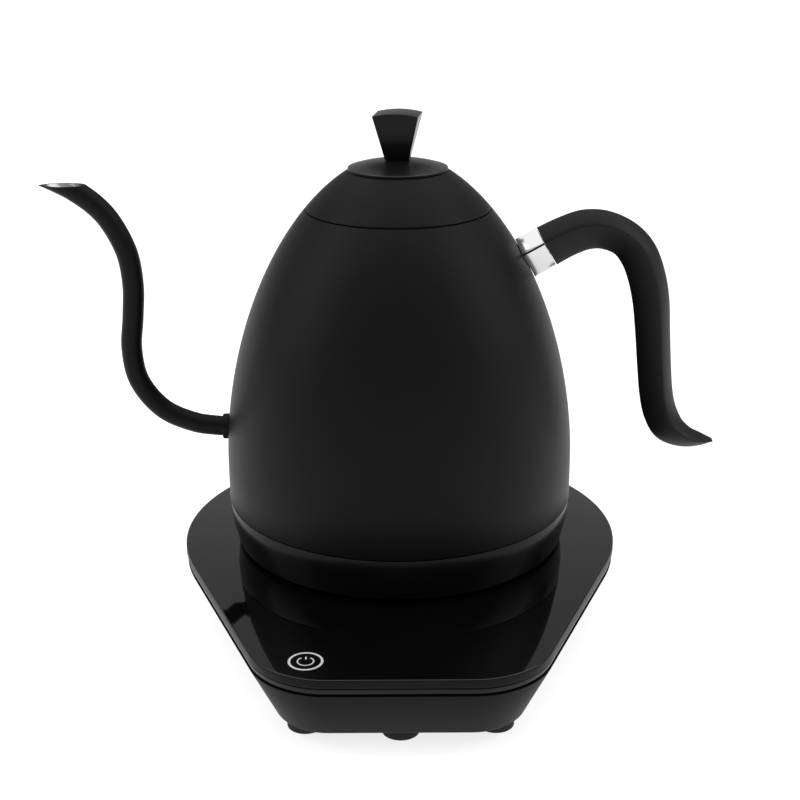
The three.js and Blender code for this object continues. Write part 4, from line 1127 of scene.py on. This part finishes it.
def build_lights():
    """A pale grey world, a wide light overhead and a softer one at each side."""
    scene = bpy.context.scene
    world = bpy.data.worlds.new("studio")
    world.use_nodes = True
    world.node_tree.nodes["Background"].inputs["Color"].default_value = (0.4, 0.4, 0.4, 1)
    scene.world = world
    scene.view_settings.view_transform = "Standard"

    centre = place(0, 0, 70)
    softbox("light_above", (AXIS_X, AXIS_Y + 0.1, 1.5), centre, (2.4, 2.0), 16.5)
    for name, side in (("light_left", -1.2), ("light_right", 1.2)):
        softbox(name, (AXIS_X + side, AXIS_Y - 0.15, 0.85), centre, (0.8, 1.0), 5.0)


def build_camera():
    """A camera in front of the kettle and above it, looking down, rolled slightly."""
    distance, height, sensor, lens = 586.85, 270.89, 36, 66.57
    pitch, roll, shift = math.radians(70.18), math.radians(-0.3), 0.0012
    camera = bpy.data.cameras.new("camera")
    camera.sensor_width, camera.lens, camera.shift_x = sensor, lens, shift
    view = bpy.data.objects.new("camera", camera)
    bpy.context.collection.objects.link(view)
    view.location = place(0, -distance, height)
    view.rotation_euler = (pitch, 0, 0)
    view.rotation_euler.rotate_axis("Z", roll)
    bpy.context.scene.camera = view


# ---------------------------------------------------------------- add-on
class KETTLE_OT_Finishes(bpy.types.Operator):
    """Make the finishes and give each CAD piece that stays its own"""
    bl_idname = "kettle.finishes"
    bl_label = "Make finishes"

    def execute(self, context):
        make_materials()
        finish_kept_nodes()
        return {"FINISHED"}


class KETTLE_OT_Body(bpy.types.Operator):
    """Build the domed body with its steel inside and the guide ring under its lip"""
    bl_idname = "kettle.body"
    bl_label = "Build body"

    def execute(self, context):
        build_body()
        build_collar_ring()
        return {"FINISHED"}


class KETTLE_OT_Skirt(bpy.types.Operator):
    """Build the moulded ring under the body and the socket in its middle"""
    bl_idname = "kettle.skirt"
    bl_label = "Build skirt"

    def execute(self, context):
        build_skirt()
        build_socket()
        return {"FINISHED"}


class KETTLE_OT_Lid(bpy.types.Operator):
    """Build the lid's dome, liner, seal and the disc on its top"""
    bl_idname = "kettle.lid"
    bl_label = "Build lid"

    def execute(self, context):
        build_lid()
        return {"FINISHED"}


class KETTLE_OT_Knob(bpy.types.Operator):
    """Build the wing-shaped knob on the lid"""
    bl_idname = "kettle.knob"
    bl_label = "Build knob"

    def execute(self, context):
        build_knob()
        return {"FINISHED"}


class KETTLE_OT_Spout(bpy.types.Operator):
    """Build the gooseneck spout and its collar"""
    bl_idname = "kettle.spout"
    bl_label = "Build spout"

    def execute(self, context):
        build_spout()
        return {"FINISHED"}


class KETTLE_OT_Handle(bpy.types.Operator):
    """Build the chrome ferrule and the curved grip"""
    bl_idname = "kettle.handle"
    bl_label = "Build handle"

    def execute(self, context):
        build_handle()
        return {"FINISHED"}


class KETTLE_OT_Base(bpy.types.Operator):
    """Build the glass, its frame, the housing and the cord's gland"""
    bl_idname = "kettle.base"
    bl_label = "Build base"

    def execute(self, context):
        build_base()
        return {"FINISHED"}


class KETTLE_OT_Feet(bpy.types.Operator):
    """Build the five rubber feet"""
    bl_idname = "kettle.feet"
    bl_label = "Build feet"

    def execute(self, context):
        build_feet()
        return {"FINISHED"}


class KETTLE_OT_Post(bpy.types.Operator):
    """Build the connector post and the shutter ring round it"""
    bl_idname = "kettle.post"
    bl_label = "Build post"

    def execute(self, context):
        build_post()
        return {"FINISHED"}


class KETTLE_OT_PowerMark(bpy.types.Operator):
    """Build the printed power mark on the glass"""
    bl_idname = "kettle.mark"
    bl_label = "Build power mark"

    def execute(self, context):
        build_mark()
        return {"FINISHED"}


class KETTLE_OT_Stage(bpy.types.Operator):
    """Build the floor, the card, the soft lights and the camera"""
    bl_idname = "kettle.stage"
    bl_label = "Build stage"

    def execute(self, context):
        build_floor()
        build_card()
        build_lights()
        build_camera()
        return {"FINISHED"}


OPERATORS = (
    KETTLE_OT_Finishes, KETTLE_OT_Body, KETTLE_OT_Skirt, KETTLE_OT_Lid, KETTLE_OT_Knob,
    KETTLE_OT_Spout, KETTLE_OT_Handle, KETTLE_OT_Base, KETTLE_OT_Feet, KETTLE_OT_Post,
    KETTLE_OT_PowerMark, KETTLE_OT_Stage)


class KETTLE_PT_Panel(bpy.types.Panel):
    """Sizes, finishes and building steps of the kettle"""
    bl_idname = "KETTLE_PT_panel"
    bl_label = "Kettle"
    bl_space_type = "VIEW_3D"
    bl_region_type = "UI"
    bl_category = "Kettle"

    def draw(self, context):
        scene = context.scene
        for settings in (scene.kettle_sizes, scene.kettle_finishes):
            box = self.layout.box()
            for name in settings.__annotations__:
                box.prop(settings, name)
        for kind in OPERATORS:
            self.layout.operator(kind.bl_idname)


CLASSES = (KettleSizes, KettleFinishes, *OPERATORS, KETTLE_PT_Panel)


def register():
    for kind in CLASSES:
        bpy.utils.register_class(kind)
    bpy.types.Scene.kettle_sizes = bpy.props.PointerProperty(type=KettleSizes)
    bpy.types.Scene.kettle_finishes = bpy.props.PointerProperty(type=KettleFinishes)


def unregister():
    del bpy.types.Scene.kettle_finishes
    del bpy.types.Scene.kettle_sizes
    for kind in reversed(CLASSES):
        bpy.utils.unregister_class(kind)


def main():
    register()
    for kind in OPERATORS:
        group, name = kind.bl_idname.split(".")
        getattr(getattr(bpy.ops, group), name)()


if __name__ == "__main__":
    main()
